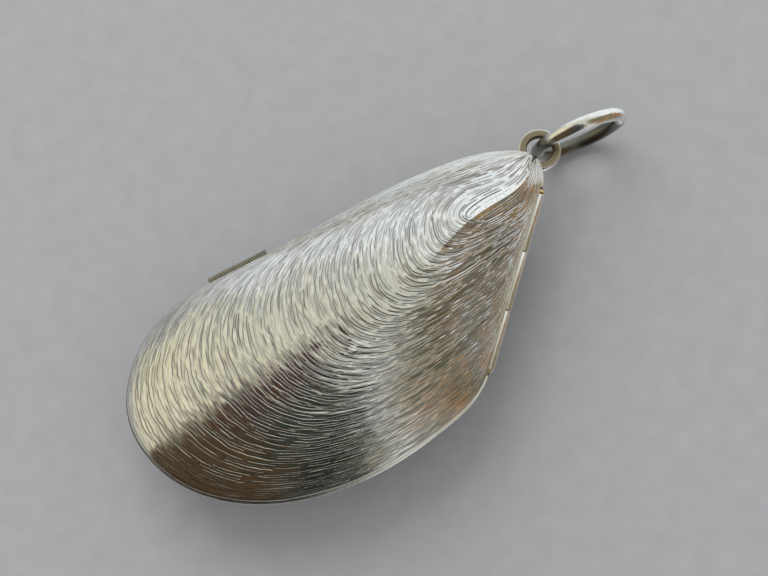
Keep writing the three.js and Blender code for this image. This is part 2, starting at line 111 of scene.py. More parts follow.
# %% Sample the outline
def bezier_span(knot, next_knot, count):
    """Points and inward normals from one knot to the next, without the last point."""
    start, end = np.array(knot[0], float), np.array(next_knot[0], float)
    reach = np.linalg.norm(end - start)
    first = start + heading(knot[1]) * knot[3] * reach
    second = end - heading(next_knot[1]) * next_knot[2] * reach
    t = np.arange(count)[:, None] / count
    u = 1 - t
    points = u**3 * start + 3 * u**2 * t * first + 3 * u * t**2 * second + t**3 * end
    way = u**2 * (first - start) + 2 * u * t * (second - first) + t**2 * (end - second)
    way /= np.linalg.norm(way, axis=1)[:, None]
    return points, np.column_stack([-way[:, 1], way[:, 0]])


SPAN_SAMPLES = 300
spans = [
    bezier_span(knot, KNOTS[(index + 1) % len(KNOTS)], SPAN_SAMPLES)
    for index, knot in enumerate(KNOTS)
]
edge_points = np.vstack([points for points, inward in spans])
edge_inward = np.vstack([inward for points, inward in spans])
edge_steps = np.linalg.norm(np.roll(edge_points, -1, axis=0) - edge_points, axis=1)
edge_distance = np.concatenate([[0], np.cumsum(edge_steps)])
EDGE_LENGTH = edge_distance[-1]
print(f"outline: {EDGE_LENGTH:.1f} mm round")


def edge_at(distance, inset):
    """Outline points at distances along the edge from the tip, moved inward."""
    wrapped = np.mod(distance, EDGE_LENGTH)
    found = []
    for table in (edge_points, edge_inward):
        closed = np.vstack([table, table[:1]])
        found.append(
            np.column_stack([np.interp(wrapped, edge_distance, closed[:, i]) for i in (0, 1)])
        )
    return found[0] + inset * found[1]


# %% [markdown]
# ## The dome
# Each valve is raised from flat sheet over a stake. Its level lines are the outline drawn in
# toward the crown, and they grow rounder on the way, so a ridge runs in from the tip and
# softens. The height at any place is found by asking which level line passes through it.


# %% Height of a valve over any place in the plan
HALVINGS = 26


def smooth(value, low, high):
    """A smooth step from 0 at low to 1 at high."""
    t = np.clip((value - low) / (high - low), 0, 1)
    return t * t * (3 - 2 * t)


def dome_height(x, y, step):
    """Height over the parting plane of a dome drawn in by step, without its rim."""
    outline = edge_at(edge_distance[:-1], step) - CROWN
    bearing = np.mod(np.arctan2(outline[:, 1], outline[:, 0]), 2 * np.pi)
    order = np.argsort(bearing)
    reach = np.linalg.norm(outline, axis=1)[order]
    dx, dy = x - CROWN[0], y - CROWN[1]
    distance = np.hypot(dx, dy)
    here = np.mod(np.arctan2(dy, dx), 2 * np.pi)
    sharp_reach = np.interp(here, bearing[order], reach, period=2 * np.pi)
    along = np.cos(here) / (CROWN_HALF_LENGTH - step)
    across = np.sin(here) / (CROWN_HALF_WIDTH - step)
    round_reach = 1 / np.hypot(along, across)
    low, high = np.zeros_like(distance), np.ones_like(distance)
    for _ in range(HALVINGS):
        share = (low + high) / 2
        sharp = smooth(share, SOFT_SHARE, SHARP_SHARE)
        too_far = share * (round_reach * (1 - sharp) + sharp_reach * sharp) > distance
        high = np.where(too_far, share, high)
        low = np.where(too_far, low, share)
    depth = VALVE_DEPTH - RIM_HEIGHT
    return RIM_HEIGHT + depth * np.clip(1 - low**2, 0, 1) ** CROWN_FULLNESS


# The ridge keeps a crisp crease from the tip to about a third of the length. Its line is
# straight in the plan, but for a bow toward the hinge near the tip.
UMBO = np.array([-0.3, 0.35])
RIDGE_HEADING = 193.0
RIDGE = heading(RIDGE_HEADING)
RIDGE_SIDE = heading(RIDGE_HEADING + 90)
CREASE_LIFT = 0.3
CREASE_WIDTH = 0.9
CREASE_RISE = (0.8, 4.0)
CREASE_FALL = (11.0, 23.0)
BOW_REACH = 1.3
BOW_PLACE = 4.0


def ridge_bow(along):
    """How far the crease bows toward the hinge at a distance from the tip."""
    share = np.clip(along, 0, None) / BOW_PLACE
    return BOW_REACH * share * np.exp((1 - share**2) / 2)


def crease_height(plan):
    """A small sharp crest along the crease."""
    offset = plan - UMBO
    along = offset @ RIDGE
    away = np.abs(offset @ RIDGE_SIDE - ridge_bow(along))
    strength = smooth(along, *CREASE_RISE) * (1 - smooth(along, *CREASE_FALL))
    return CREASE_LIFT * strength * np.exp(-away / CREASE_WIDTH)


# %% [markdown]
# ## The engraved strokes
# The engraver cut strokes along the growth lines of the shell: loops that leave the tip in a
# fan, swing over the ridge and come back. The innermost loop is a seam on the crease, and the
# outermost is the outline. Where the loops crowd together, at the tip and the margins, the
# engraver left strokes out, so every second, fourth or eighth is cut there. Each stroke is
# real geometry: a narrow V with two sharp edges, and the land between two cuts is tilted a
# little, as a hand would leave it.

# %% Sizes of the loops
# Rows of strokes, columns on each side of the ridge, and the pairs at the groove's ends.
STROKE_ROWS = 124
SIDE_COLUMNS = 116
PAIR_GAP = 0.012
NEAR_TIP = 5
# The seam's share of the ridge, and the scale up to which both sides of a loop match.
SEAM_SHARE = 0.235
SEAM_POWER = 4
MATCHED_SCALE = 0.12
SCALE_SAMPLES = 1500
FLANK_REACH = 11.4
# The loops swell toward the lower corner of the far end.
BULGE = 0.3
BULGE_PLACE = np.array([-38.5, -11.0])
BULGE_WIDTH = 15.0
# Chance comes from the far digits of a sine, so the factors are only large and uneven.
SEED = 11
CHANCE_FACTORS = (12.9898, 78.233, 37.719)
CHANCE_SCALE = 43758.5453


def hashed(*values):
    """A repeatable number from 0 to 1 for whole numbers, as a table of chance."""
    mixed = sum(np.asarray(v, float) * k for v, k in zip(values, CHANCE_FACTORS))
    return np.mod(np.sin(mixed + SEED) * CHANCE_SCALE, 1)


def wander(position, lane, pitch):
    """Smooth noise from -1 to 1 along a lane, with a new value every pitch."""
    cell = np.floor(position / pitch)
    part = position / pitch - cell
    part = part * part * (3 - 2 * part)
    return 2 * (hashed(cell, lane) * (1 - part) + hashed(cell + 1, lane) * part) - 1


def wave_along(along, lanes, wave):
    """Wander along the lanes, from a wave's reach, its pitch and its own rows of the table."""
    reach, pitch, first_row = wave
    return reach * wander(along, lanes + first_row, pitch)


def ridge_places():
    """Distances along the edge where the ridge's line meets it, at the tip and the far end."""
    across = (edge_points - UMBO) @ RIDGE_SIDE
    along = (edge_points - UMBO) @ RIDGE
    crossing = np.flatnonzero(across * np.roll(across, -1) <= 0)
    at_tip = along[crossing] < NEAR_TIP
    return edge_distance[crossing[at_tip][0]], edge_distance[crossing[~at_tip][0]]


TIP_PLACE, FAR_PLACE = ridge_places()
print(f"the ridge meets the edge {TIP_PLACE:.1f} and {FAR_PLACE:.1f} mm round from the tip")


def column_places(groove_ends):
    """Distances along the edge for the mesh's columns, as many on one side as on the other."""
    pairs = [end + side for end in groove_ends for side in (-PAIR_GAP, PAIR_GAP)]
    ventral = np.linspace(TIP_PLACE, FAR_PLACE, SIDE_COLUMNS + len(pairs), endpoint=False)
    dorsal = np.linspace(FAR_PLACE, TIP_PLACE + EDGE_LENGTH, SIDE_COLUMNS, endpoint=False)
    return np.concatenate([ventral, np.sort(np.concatenate([dorsal, pairs]))])


def loop_points(places, scale, step):
    """Plan points of loops, from the seam on the crease at scale 0 to the outline at scale 1."""
    outline = edge_at(places, step)
    spoke = outline - UMBO
    along, across = spoke @ RIDGE, spoke @ RIDGE_SIDE
    mirrored = np.roll(along[::-1], 1)
    own = smooth(scale, 0, MATCHED_SCALE)
    along = (along + mirrored) / 2 * (1 - own) + along * own
    near_bulge = np.exp(-(np.linalg.norm(outline - BULGE_PLACE, axis=1) / BULGE_WIDTH) ** 2)
    swelled = scale ** (1 - BULGE * near_bulge)
    seam = SEAM_SHARE**SEAM_POWER
    lengthwise = ((swelled**SEAM_POWER + seam) / (1 + seam)) ** (1 / SEAM_POWER)
    forward = lengthwise * along
    sideways = swelled * across + (1 - swelled) * ridge_bow(forward)
    return UMBO + forward[..., None] * RIDGE + sideways[..., None] * RIDGE_SIDE


def loop_scales(places, step):
    """The scale of each stroke's loop, for an even pitch where the loops cross the ridge."""
    scale = np.linspace(0, 1, SCALE_SAMPLES)
    line = loop_points(places, scale[:, None], step)[:, len(places) // 2]
    rise = dome_height(line[:, 0], line[:, 1], step)
    ridge = np.hypot(np.linalg.norm(np.diff(line, axis=0), axis=1), np.diff(rise))
    length = np.concatenate([[0], np.cumsum(np.hypot(ridge, FLANK_REACH * np.diff(scale)))])
    return np.interp(np.linspace(0, length[-1], STROKE_ROWS + 1), length, scale)


# %% [markdown]
# ## Rows that follow the strokes
# The rows of the mesh follow the strokes. Every stroke has three rows: the bottom of the cut
# and the two edges of the land beside it. Rows wander a little, as lines cut by hand do, but
# for the first few beside the seam and the last few at the outline.

# %% Place the rows
STROKE_SIDE = 0.18
CALM_AT_SEAM = 5
CALM_AT_EDGE = 3
# Each wave is a reach, a pitch in millimetres and a first row in the table of chance.
ROW_WAVES = [(0.3, 1.7, 0), (0.2, 0.6, 400)]


def surface_rows(places, step):
    """Plan points and heights of the smooth dome, on rows that follow the strokes."""
    scales = loop_scales(places, step)
    lanes = np.arange(STROKE_ROWS + 1)
    room = np.gradient(scales)[:, None]
    inside = smooth(lanes, 0, CALM_AT_SEAM) * smooth(STROKE_ROWS - lanes, 0, CALM_AT_EDGE)
    length = (places - TIP_PLACE)[None, :] * scales[:, None]
    shift = sum(wave_along(length, lanes[:, None], wave) for wave in ROW_WAVES)
    cuts = scales[:, None] + room * inside[:, None] * shift
    rows = [cuts[0]]
    for lane in range(STROKE_ROWS):
        gap = cuts[lane + 1] - cuts[lane]
        rows += [cuts[lane] + STROKE_SIDE * gap, cuts[lane + 1] - STROKE_SIDE * gap]
        rows.append(cuts[lane + 1])
    plan = loop_points(places, np.clip(np.array(rows), 0, 1), step)
    height = dome_height(plan[:, :, 0], plan[:, :, 1], step) + crease_height(plan)
    return np.dstack([plan, height])


def grid_normals(points):
    """Outward normals of a grid of rows that close on themselves."""
    across = np.roll(points, -1, axis=1) - np.roll(points, 1, axis=1)
    up = np.gradient(points, axis=0)
    normal = np.cross(across, -up)
    return normal / np.maximum(np.linalg.norm(normal, axis=2, keepdims=True), 1e-12)


# %% [markdown]
# ## The cuts
# Along its row the graver was lifted again and again, so each lane is a chain of strokes of
# uneven length. A stroke goes in steeply, runs out gently, and a few are only scratched. The
# lane beside the outline is one long cut, the border. Normals of the grid say which way is in.

# %% Sizes of the cuts
STROKE_DEPTH = 0.055
STROKE_HALF_WIDTH = 0.078
# The spacing wanted, and the shares of it between which a crowded stroke comes in.
STROKE_SPACING = 0.21
SPACING_WAVE = (0.3, 2.5, 500)
CROWDING = (0.56, 0.8)
SEAM_LEVEL = 6
# A stroke's length is the shortest and a share of the spread. Draws are columns of the table.
SHORTEST_STROKE, LENGTH_SPREAD, LENGTH_DRAW = 1.8, 4.0, 7
START_SPREAD, START_DRAW = 9, 3
LENGTH_WAVE = (0.3, 5.0, 300)
TAPER_IN = 0.35
TAPER_OUT = 0.7
WEAKEST_STROKE, STRENGTH_SPREAD = 0.55, 0.45
FAINT_CHANCE, FAINT_STRENGTH, FAINT_DRAW = 0.14, 0.3, 5
# The lanes of the smoother facet beside the crease, and how much weaker its strokes are.
FACET_START = (5.0, 7.0)
FACET_END = (8.0, 11.0)
FACET_WEAKER = 0.35
# Strokes come in between two distances from the tip.
TIP_FADE = (0.3, 0.9)
BORDER_CUT = 0.8
LAND_TILT = 0.024
TILT_WAVE = (1, 2.2, 900)
REACH_IN_LANES = 6


# %% Press the strokes in
def stroke_strength(lanes, along, kept):
    """How strongly each lane is cut along its way: uneven strokes with tapered ends."""
    length = SHORTEST_STROKE + LENGTH_SPREAD * hashed(lanes, LENGTH_DRAW)
    start = START_SPREAD * hashed(lanes, START_DRAW)
    place = (along + start) / length + wave_along(along, lanes, LENGTH_WAVE)
    stroke = np.floor(place)
    part = (place - stroke) * length
    tapered = smooth(part, 0, TAPER_IN) * smooth(length - part, 0.0, TAPER_OUT)
    faint = np.where(hashed(stroke, lanes, FAINT_DRAW) < FAINT_CHANCE, FAINT_STRENGTH, 1)
    strength = (WEAKEST_STROKE + STRENGTH_SPREAD * hashed(lanes, stroke)) * faint
    return kept * tapered * strength


def press_and_tilt(cuts):
    """How strongly every lane is cut at each column, and how far the land beside it tilts."""
    numbers = range(len(cuts))
    lanes = np.array(numbers)[:, None]
    level = np.array([(lane & -lane).bit_length() - 1 if lane else SEAM_LEVEL for lane in numbers])
    pitch = np.linalg.norm(np.gradient(cuts, axis=0), axis=2)
    along = np.linalg.norm(np.diff(cuts, axis=1, append=cuts[:, :1]), axis=2).cumsum(axis=1)
    wanted = STROKE_SPACING * (1 + wave_along(along, lanes, SPACING_WAVE))
    kept = smooth(2.0 ** level[:, None] * pitch / wanted, *CROWDING)
    press = stroke_strength(lanes, along, kept)
    ventral = np.arange(cuts.shape[1])[None, :] < cuts.shape[1] // 2
    facet = smooth(lanes, *FACET_START) * (1 - smooth(lanes, *FACET_END))
    press *= 1 - FACET_WEAKER * facet * ventral
    from_tip = smooth(np.linalg.norm(cuts[:, :, :2] - UMBO, axis=2), *TIP_FADE)
    press *= from_tip
    press[-2] = np.maximum(press[-2], BORDER_CUT * from_tip[-2])
    press[[0, -1]] = 0
    return press, LAND_TILT * pitch * kept * wave_along(along, lanes, TILT_WAVE)


def engrave(points):
    """Presses the strokes into the rows. Returns the new points and how deep each is cut."""
    cuts = points[::3]
    press, tilt = press_and_tilt(cuts)
    cut = np.zeros(points.shape[:2])
    for offset in range(-REACH_IN_LANES, REACH_IN_LANES + 1):
        rows = np.arange(len(points))
        lane = rows // 3 + offset
        fits = (lane >= 0) & (lane < len(cuts))
        rows, lane = rows[fits], lane[fits]
        away = np.linalg.norm(points[rows] - cuts[lane], axis=2) / STROKE_HALF_WIDTH
        cut[rows] = np.maximum(cut[rows], np.clip(1 - away, 0, 1) * press[lane])
    lands = np.zeros(points.shape[:2])
    lands[1::3] += tilt[:-1]
    lands[2::3] -= tilt[:-1]
    moved = points + grid_normals(points) * (lands - STROKE_DEPTH * cut)[:, :, None]
    return moved, cut


# %% [markdown]
# ## A valve as one closed skin
# The skin starts as a flat grid that is wrapped up like a bag: from the crown inside, out to
# the rim, over its edge and up the outside to the crease. The last row folds onto itself
# there, as a seam that is merged. On the hinge side the rim's edge follows the round groove
# that the hinge lies in.

# %% Sizes of the groove and the fineness of the skin
GROOVE_RADIUS = 0.52
GROOVE_START = 0.33
GROOVE_END = 18.29
INNER_LOOPS = 9
RIM_ROWS = 4
CHAMFER = 0.035
OVER_GROOVE = 0.002


def groove_height(plan, centre):
    """How high the hinge's groove reaches over the parting plane at points of the plan."""
    offset = plan - HINGE_AXIS
    inward = offset @ HINGE_INWARD
    back = -(offset @ HINGE_WAY)
    inside = (back > GROOVE_START) & (back < GROOVE_END) & (np.abs(inward) < GROOVE_RADIUS)
    rise = centre + np.sqrt(np.clip(GROOVE_RADIUS**2 - inward**2, 0, None))
    return np.where(inside, np.maximum(rise, 0), 0)


def groove_places():
    """Distances along the edge where the groove starts and ends."""
    back = -((edge_points - HINGE_AXIS) @ HINGE_WAY)
    inward = (edge_points - HINGE_AXIS) @ HINGE_INWARD
    near = np.abs(inward) < GROOVE_RADIUS
    inside = near & (back > GROOVE_START) & (back < GROOVE_END)
    found = np.flatnonzero(inside)
    return edge_distance[found[0]], edge_distance[found[-1]]


def inner_dome(inner, narrower):
    """Rows of the inside, from the crown out to the top of the inner wall."""
    spoke = inner - CROWN
    reach = np.linalg.norm(spoke, axis=1, keepdims=True)
    way = spoke / reach
    along = way[:, :1] / (CROWN_HALF_LENGTH - narrower)
    across = way[:, 1:] / (CROWN_HALF_WIDTH - narrower)
    round_reach = 1 / np.hypot(along, across)
    depth = VALVE_DEPTH - RIM_HEIGHT - WALL
    rows = []
    for loop in range(INNER_LOOPS, -1, -1):
        share = math.cos(loop / INNER_LOOPS * math.pi / 2)
        sharp = float(smooth(share, SOFT_SHARE, SHARP_SHARE))
        plan = CROWN + way * share * (round_reach * (1 - sharp) + reach * sharp)
        height = RIM_HEIGHT + depth * (1 - share**2) ** CROWN_FULLNESS
        rows.append(np.column_stack([plan, np.full(len(plan), height)]))
    return rows


def valve_rows(step, groove_centre):
    """All rows of the skin from the crown inside to the seam outside, and how deep each is cut."""
    places = column_places(groove_places())
    outer, inner = edge_at(places, step), edge_at(places, step + WALL)
    rows = inner_dome(inner, step + WALL)
    inner_top = rows[-1][:, 2]
    low = np.maximum(groove_height(inner, groove_centre), CHAMFER)
    for part in (0.5, 1.0):
        rows.append(np.column_stack([inner, inner_top * (1 - part) + low * part]))
    first_rim_row = len(rows)
    for row in range(RIM_ROWS + 1):
        inset = WALL - CHAMFER - (WALL - 2 * CHAMFER) * row / RIM_ROWS
        plan = edge_at(places, step + inset)
        rows.append(np.column_stack([plan, groove_height(plan, groove_centre)]))
    low = groove_height(outer, groove_centre)
    for part in (0.0, 0.5):
        height = np.maximum(low, CHAMFER) * (1 - part) + np.maximum(low, RIM_HEIGHT) * part
        rows.append(np.column_stack([outer, height]))
    outside = surface_rows(places, step)
    outside[:, :, 2] = np.maximum(outside[:, :, 2], low[None, :] + OVER_GROOVE)
    engraved, cut = engrave(outside)
    points = np.concatenate([np.array(rows), engraved[::-1]])
    cut = np.concatenate([np.zeros((len(rows), len(outer))), cut[::-1]])
    return points, cut, first_rim_row


def to_frame(points, lift, upward):
    """Shell millimetres to metres in the frame. A lower valve hangs below the plane."""
    placed = np.array(points, float)
    placed[..., 0] -= CROWN[0]
    placed[..., 1] -= CROWN[1]
    placed[..., 2] = PARTING_HEIGHT + lift + upward * placed[..., 2]
    return placed * MM


# %% [markdown]
# ## From rows to a mesh
# A grid has the right faces already, so the skin is a plain grid whose points are put on the
# rows. Where the grid's sides meet, and where its ends close to a point or a seam, doubles
# are merged. How deep each point is cut goes along as an attribute for the finish.


# %% Small helpers for selecting and finishing
def deselect():
    """Operators act on all that is selected, so nothing is, to begin with."""
    bpy.ops.object.select_all(action="DESELECT")


def activate(piece):
    """Selects one object alone."""
    deselect()
    piece.select_set(True)
    bpy.context.view_layer.objects.active = piece


def in_edit_mode(piece, *steps):
    """Runs steps on a piece in edit mode with everything selected."""
    activate(piece)
    bpy.ops.object.mode_set(mode="EDIT")
    bpy.ops.mesh.select_all(action="SELECT")
    for step in steps:
        step()
    bpy.ops.object.mode_set(mode="OBJECT")


def settle(piece):
    """Moves a finished object's place into its mesh."""
    activate(piece)
    bpy.ops.object.transform_apply(location=True, rotation=True, scale=True)


# %% Make both valves
SKIN_MERGE = 2e-7
STROKE_ANGLE = 14


def wrap_grid(name, points, attributes):
    """A grid whose columns close into a ring, with its first and last rows closed up."""
    rows, columns = points.shape[:2]
    deselect()
    bpy.ops.mesh.primitive_grid_add(x_subdivisions=columns, y_subdivisions=rows - 1, size=1)
    piece = bpy.context.object
    piece.name = piece.data.name = name
    closed = np.concatenate([points, points[:, :1]], axis=1)
    piece.data.vertices.foreach_set("co", closed.astype(np.float32).ravel())
    for key, values in attributes.items():
        layer = piece.data.attributes.new(key, "FLOAT", "POINT")
        closed = np.column_stack([values, values[:, :1]])
        layer.data.foreach_set("value", closed.astype(np.float32).ravel())
    in_edit_mode(
        piece,
        lambda: bpy.ops.mesh.remove_doubles(threshold=SKIN_MERGE),
        lambda: bpy.ops.mesh.normals_make_consistent(inside=False),
    )
    return piece


def make_valve(name, step, lift, upward, groove_centre):
    """One engraved valve."""
    points, cut, first_rim_row = valve_rows(step, groove_centre)
    row_number = np.arange(len(points))[:, None] + np.zeros(points.shape[1])
    outside = smooth(row_number, first_rim_row - 1, first_rim_row)
    placed = to_frame(points, lift, upward)
    # The belly of the base is worn flat where it rests.
    placed[..., 2] = np.maximum(placed[..., 2], 0)
    piece = wrap_grid(name, placed, {"cut": cut, "outside": outside})
    bpy.ops.object.shade_smooth_by_angle(angle=math.radians(STROKE_ANGLE))
    triangles = sum(len(face.vertices) - 2 for face in piece.data.polygons)
    print(f"{name}: {triangles} triangles")
    return piece


lid = make_valve("engraved_lid", LID_STEP, LID_LIFT, 1, -LID_LIFT)
base = make_valve("engraved_base", 0.0, 0.0, -1, 0.0)
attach(lid, "lid")
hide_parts("lid_shell")
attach(base, "base")
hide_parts("base_shell")

# %% [markdown]
# ## Writing materials as code
# A material is a tree of nodes. Placed one by one in code it grows long, so a few helpers add
# a node, link what it needs, and hand back the socket that the next node reads.


# %% Helpers for node materials
BUMP_STRENGTH = 0.3
BUMP_DEPTH = 0.02 * MM


class Nodes:
    """A short way to write a node tree."""

    def __init__(self, tree):
        self.tree = tree

    def add(self, kind, inputs=None, **settings):
        """A node with its inputs linked or set."""
        node = self.tree.nodes.new(kind)
        for key, value in settings.items():
            setattr(node, key, value)
        for key, value in (inputs or {}).items():
            if isinstance(value, bpy.types.NodeSocket):
                self.tree.links.new(value, node.inputs[key])
            else:
                node.inputs[key].default_value = value
        return node

    def ramp(self, factor, stops):
        """A colour ramp from (place, colour) stops."""
        node = self.add("ShaderNodeValToRGB", {"Fac": factor})
        elements = node.color_ramp.elements
        while len(elements) > 1:
            elements.remove(elements[-1])
        for index, (place, colour) in enumerate(stops):
            element = elements[0] if index == 0 else elements.new(place)
            element.position = place
            element.color = (*colour, 1)
        return node.outputs["Color"]

    def math(self, operation, first, second=0.0, third=0.0):
        """One step of arithmetic."""
        node = self.add("ShaderNodeMath", {0: first, 1: second, 2: third}, operation=operation)
        return node.outputs[0]

    def mix(self, factor, first, second, blend="MIX"):
        """Two colours mixed. A colour mix has its factor and colours on sockets 0, 6 and 7."""
        inputs = {0: factor}
        for index, value in ((6, first), (7, second)):
            inputs[index] = value if isinstance(value, bpy.types.NodeSocket) else (*value, 1)
        node = self.add("ShaderNodeMix", data_type="RGBA", blend_type=blend)
        for index, value in inputs.items():
            if isinstance(value, bpy.types.NodeSocket):
                self.tree.links.new(value, node.inputs[index])
            else:
                node.inputs[index].default_value = value
        return node.outputs[2]

    def noise(self, vector, scale, detail=2.0):
        """Soft noise from 0 to 1."""
        inputs = {"Vector": vector, "Scale": scale, "Detail": detail}
        return self.add("ShaderNodeTexNoise", inputs).outputs["Fac"]

    def spread(self, value, start, end, kind="SMOOTHSTEP"):
        """0 to 1 as a value goes from start to end, and no further."""
        inputs = {0: value, 1: start, 2: end}
        return self.add("ShaderNodeMapRange", inputs, interpolation_type=kind).outputs[0]

    def object_place(self):
        """The place on the piece, in metres."""
        return self.add("ShaderNodeTexCoord").outputs["Object"]

    def axes(self, vector):
        """The X, Y and Z sockets of a vector."""
        return self.add("ShaderNodeSeparateXYZ", {0: vector}).outputs

    def finish_metal(self, shader, colour, rough, height):
        """Links a colour, a roughness and a fine bump to a metal's shader."""
        bump = self.add("ShaderNodeBump", {
            "Height": height, "Strength": BUMP_STRENGTH, "Distance": BUMP_DEPTH
        })
        self.tree.links.new(colour, shader.inputs["Base Color"])
        shader.inputs["Metallic"].default_value = 1.0
        self.tree.links.new(rough, shader.inputs["Roughness"])
        self.tree.links.new(bump.outputs["Normal"], shader.inputs["Normal"])


def new_material(name):
    """An empty principled material and its node helper."""
    material = bpy.data.materials.new(name)
    material.use_nodes = True
    nodes = Nodes(material.node_tree)
    shader = material.node_tree.nodes["Principled BSDF"]
    return material, nodes, shader


def dress(piece, material):
    """Gives a piece one material."""
    piece.data.materials.clear()
    piece.data.materials.append(material)


# %% [markdown]
# ## Engraved silver
# Silver is a metal with hardly any colour of its own: what shows is the room around it. The
# cuts are coloured nearly black, the lands are bright with fine hairlines from wiping, and the
# inside is gilded. Toward the far end a band of painted shade lies where the two valves meet.
# Hairlines run along the rows, by the grid's own UV map. The rest reads the attributes and the
# place on the shell, so all of it stays put when the lid opens.

# %% Engraved silver
LAND_TONES = [
    (0.35, (0.90, 0.90, 0.88)),
    (0.55, (0.93, 0.92, 0.88)),
    (0.75, (0.86, 0.82, 0.74)),
]
GILT_TONES = [(0.3, (0.80, 0.62, 0.30)), (0.7, (0.86, 0.70, 0.38))]
CLOUD_SCALE, CLOUD_DETAIL = 180.0, 3.0
HAIRLINE_TONES = [(0.34, (0.62, 0.61, 0.58)), (0.55, (1.0, 1.0, 1.0))]
HAIRLINE_STRETCH = (90, 1400, 1)
HAIRLINE_DETAIL = 3.0
# Painted shade where the valves meet: its height, its reach, and where it comes in along X.
SEAM_HEIGHT = 6.2
SEAM_REACH = 0.36
SEAM_CORE = 0.2
SEAM_FADE = (-4.0, -14.0)
SEAM_SHADE_COLOUR = (0.10, 0.09, 0.065)
SEAM_SHADE_STRENGTH = 0.85
CUT_DARK_TONE = (0.045, 0.038, 0.026)
CUT_STRENGTH = 0.97
SPOT_SCALE, SPOT_DETAIL = 900.0, 4.0
SKIN_ROUGHNESS, SPOT_ROUGHNESS, CUT_ROUGHNESS = 0.05, 0.14, 0.2


def seam_shade_band(nodes, place, outside):
    """A mask of painted shade where the valves meet, at the far end and outside only."""
    axes = nodes.axes(place)
    off_seam = nodes.math("ABSOLUTE", nodes.math("SUBTRACT", axes["Z"], SEAM_HEIGHT * MM))
    band = nodes.spread(off_seam, SEAM_REACH * MM, SEAM_CORE * MM, "LINEAR")
    far_end = nodes.spread(axes["X"], SEAM_FADE[0] * MM, SEAM_FADE[1] * MM, "LINEAR")
    band = nodes.math("MULTIPLY", nodes.math("MULTIPLY", band, outside), far_end)
    return nodes.math("MULTIPLY", band, SEAM_SHADE_STRENGTH)


def engraved_silver():
    """The valves' finish, from how deep each point is cut and whether it lies outside."""
    material, nodes, shader = new_material("engraved_silver")
    place = nodes.object_place()
    cut = nodes.add("ShaderNodeAttribute", attribute_name="cut").outputs["Fac"]
    outside = nodes.add("ShaderNodeAttribute", attribute_name="outside").outputs["Fac"]
    clouds = nodes.noise(place, CLOUD_SCALE, CLOUD_DETAIL)
    skin = nodes.mix(outside, nodes.ramp(clouds, GILT_TONES), nodes.ramp(clouds, LAND_TONES))
    lengthwise = nodes.add("ShaderNodeMapping", {
        "Vector": nodes.add("ShaderNodeUVMap").outputs["UV"], "Scale": HAIRLINE_STRETCH
    })
    hairlines = nodes.noise(lengthwise.outputs["Vector"], 1.0, HAIRLINE_DETAIL)
    skin = nodes.mix(outside, skin, nodes.ramp(hairlines, HAIRLINE_TONES), "MULTIPLY")
    # Painted shade along the seam between the valves, toward the far end.
    skin = nodes.mix(seam_shade_band(nodes, place, outside), skin, SEAM_SHADE_COLOUR)
    # The cuts are coloured nearly black, more so where they are cut deeper.
    skin = nodes.mix(nodes.math("MULTIPLY", cut, CUT_STRENGTH), skin, CUT_DARK_TONE)
    spots = nodes.noise(place, SPOT_SCALE, SPOT_DETAIL)
    rough = nodes.math("MULTIPLY_ADD", spots, SPOT_ROUGHNESS, SKIN_ROUGHNESS)
    rough = nodes.math("MULTIPLY_ADD", cut, CUT_ROUGHNESS, rough)
    nodes.finish_metal(shader, skin, rough, nodes.math("MULTIPLY", hairlines, outside))
    return material


silver_material = engraved_silver()
dress(lid, silver_material)
dress(base, silver_material)
print("both valves wear", silver_material.name)

# %% [markdown]
# ## Metals of the fittings
# The fittings are plain silver and gilding in two close tones with fine wear. The eye carries a
# brown tarnish inside its outer edge, and that thin edge is left bright as a painted highlight.
# The ring carries painted shade on its lower part and at its seat in the eye. Each overlay is a
# colour and a function that makes its mask.

# %% Metals for the fittings
TONE_PLACES = (0.35, 0.65)
METAL_SCALE, METAL_DETAIL = 700.0, 4.0
ROUGHNESS_SPREAD = 0.2
TARNISH_AND_SHADE_ROUGHNESS = 0.15
WEAR_FINER, WEAR_DETAIL = 6, 3.0


def worn_metal(name, low, high, roughness, scale=METAL_SCALE, tarnish_and_shade=None):
    """Metal in two tones with fine wear, and with tarnish or painted shade over a mask where
    given.
    """
    material, nodes, shader = new_material(name)
    place = nodes.object_place()
    clouds = nodes.noise(place, scale, METAL_DETAIL)
    colour = nodes.ramp(clouds, list(zip(TONE_PLACES, (low, high))))
    smoothest = roughness - ROUGHNESS_SPREAD / 2
    rough = nodes.math("MULTIPLY_ADD", clouds, ROUGHNESS_SPREAD, smoothest)
    # The overlay is tarnish or painted shade, whichever the caller gives.
    if tarnish_and_shade:
        mask = tarnish_and_shade[1](nodes, place)
        colour = nodes.mix(mask, colour, tarnish_and_shade[0])
        rough = nodes.math("MULTIPLY_ADD", mask, TARNISH_AND_SHADE_ROUGHNESS, rough)
    wear = nodes.noise(place, WEAR_FINER * scale, WEAR_DETAIL)
    nodes.finish_metal(shader, colour, rough, wear)
    return material


EYE_CENTRE = np.array([0.7, 0.6])
EYE_OUTER = 1.95
# The width of the eye's outer edge that is left bright as a painted highlight.
HIGHLIGHT_EDGE = 0.22
# The ring's painted shade: the heights where it starts and is full, and how far noise lowers them.
LOW_START, LOW_FULL = 4.9, 3.9
LOW_NOISE = 1.2
LOW_SCALE = 500.0
LOW_STRENGTH = 0.93
# Painted shade where the ring sits in the eye.
SEAT_HEIGHT = 6.0
SEAT_REACH = 2.3
SEAT_CORE = 1.5
SEAT_STRENGTH = 0.85


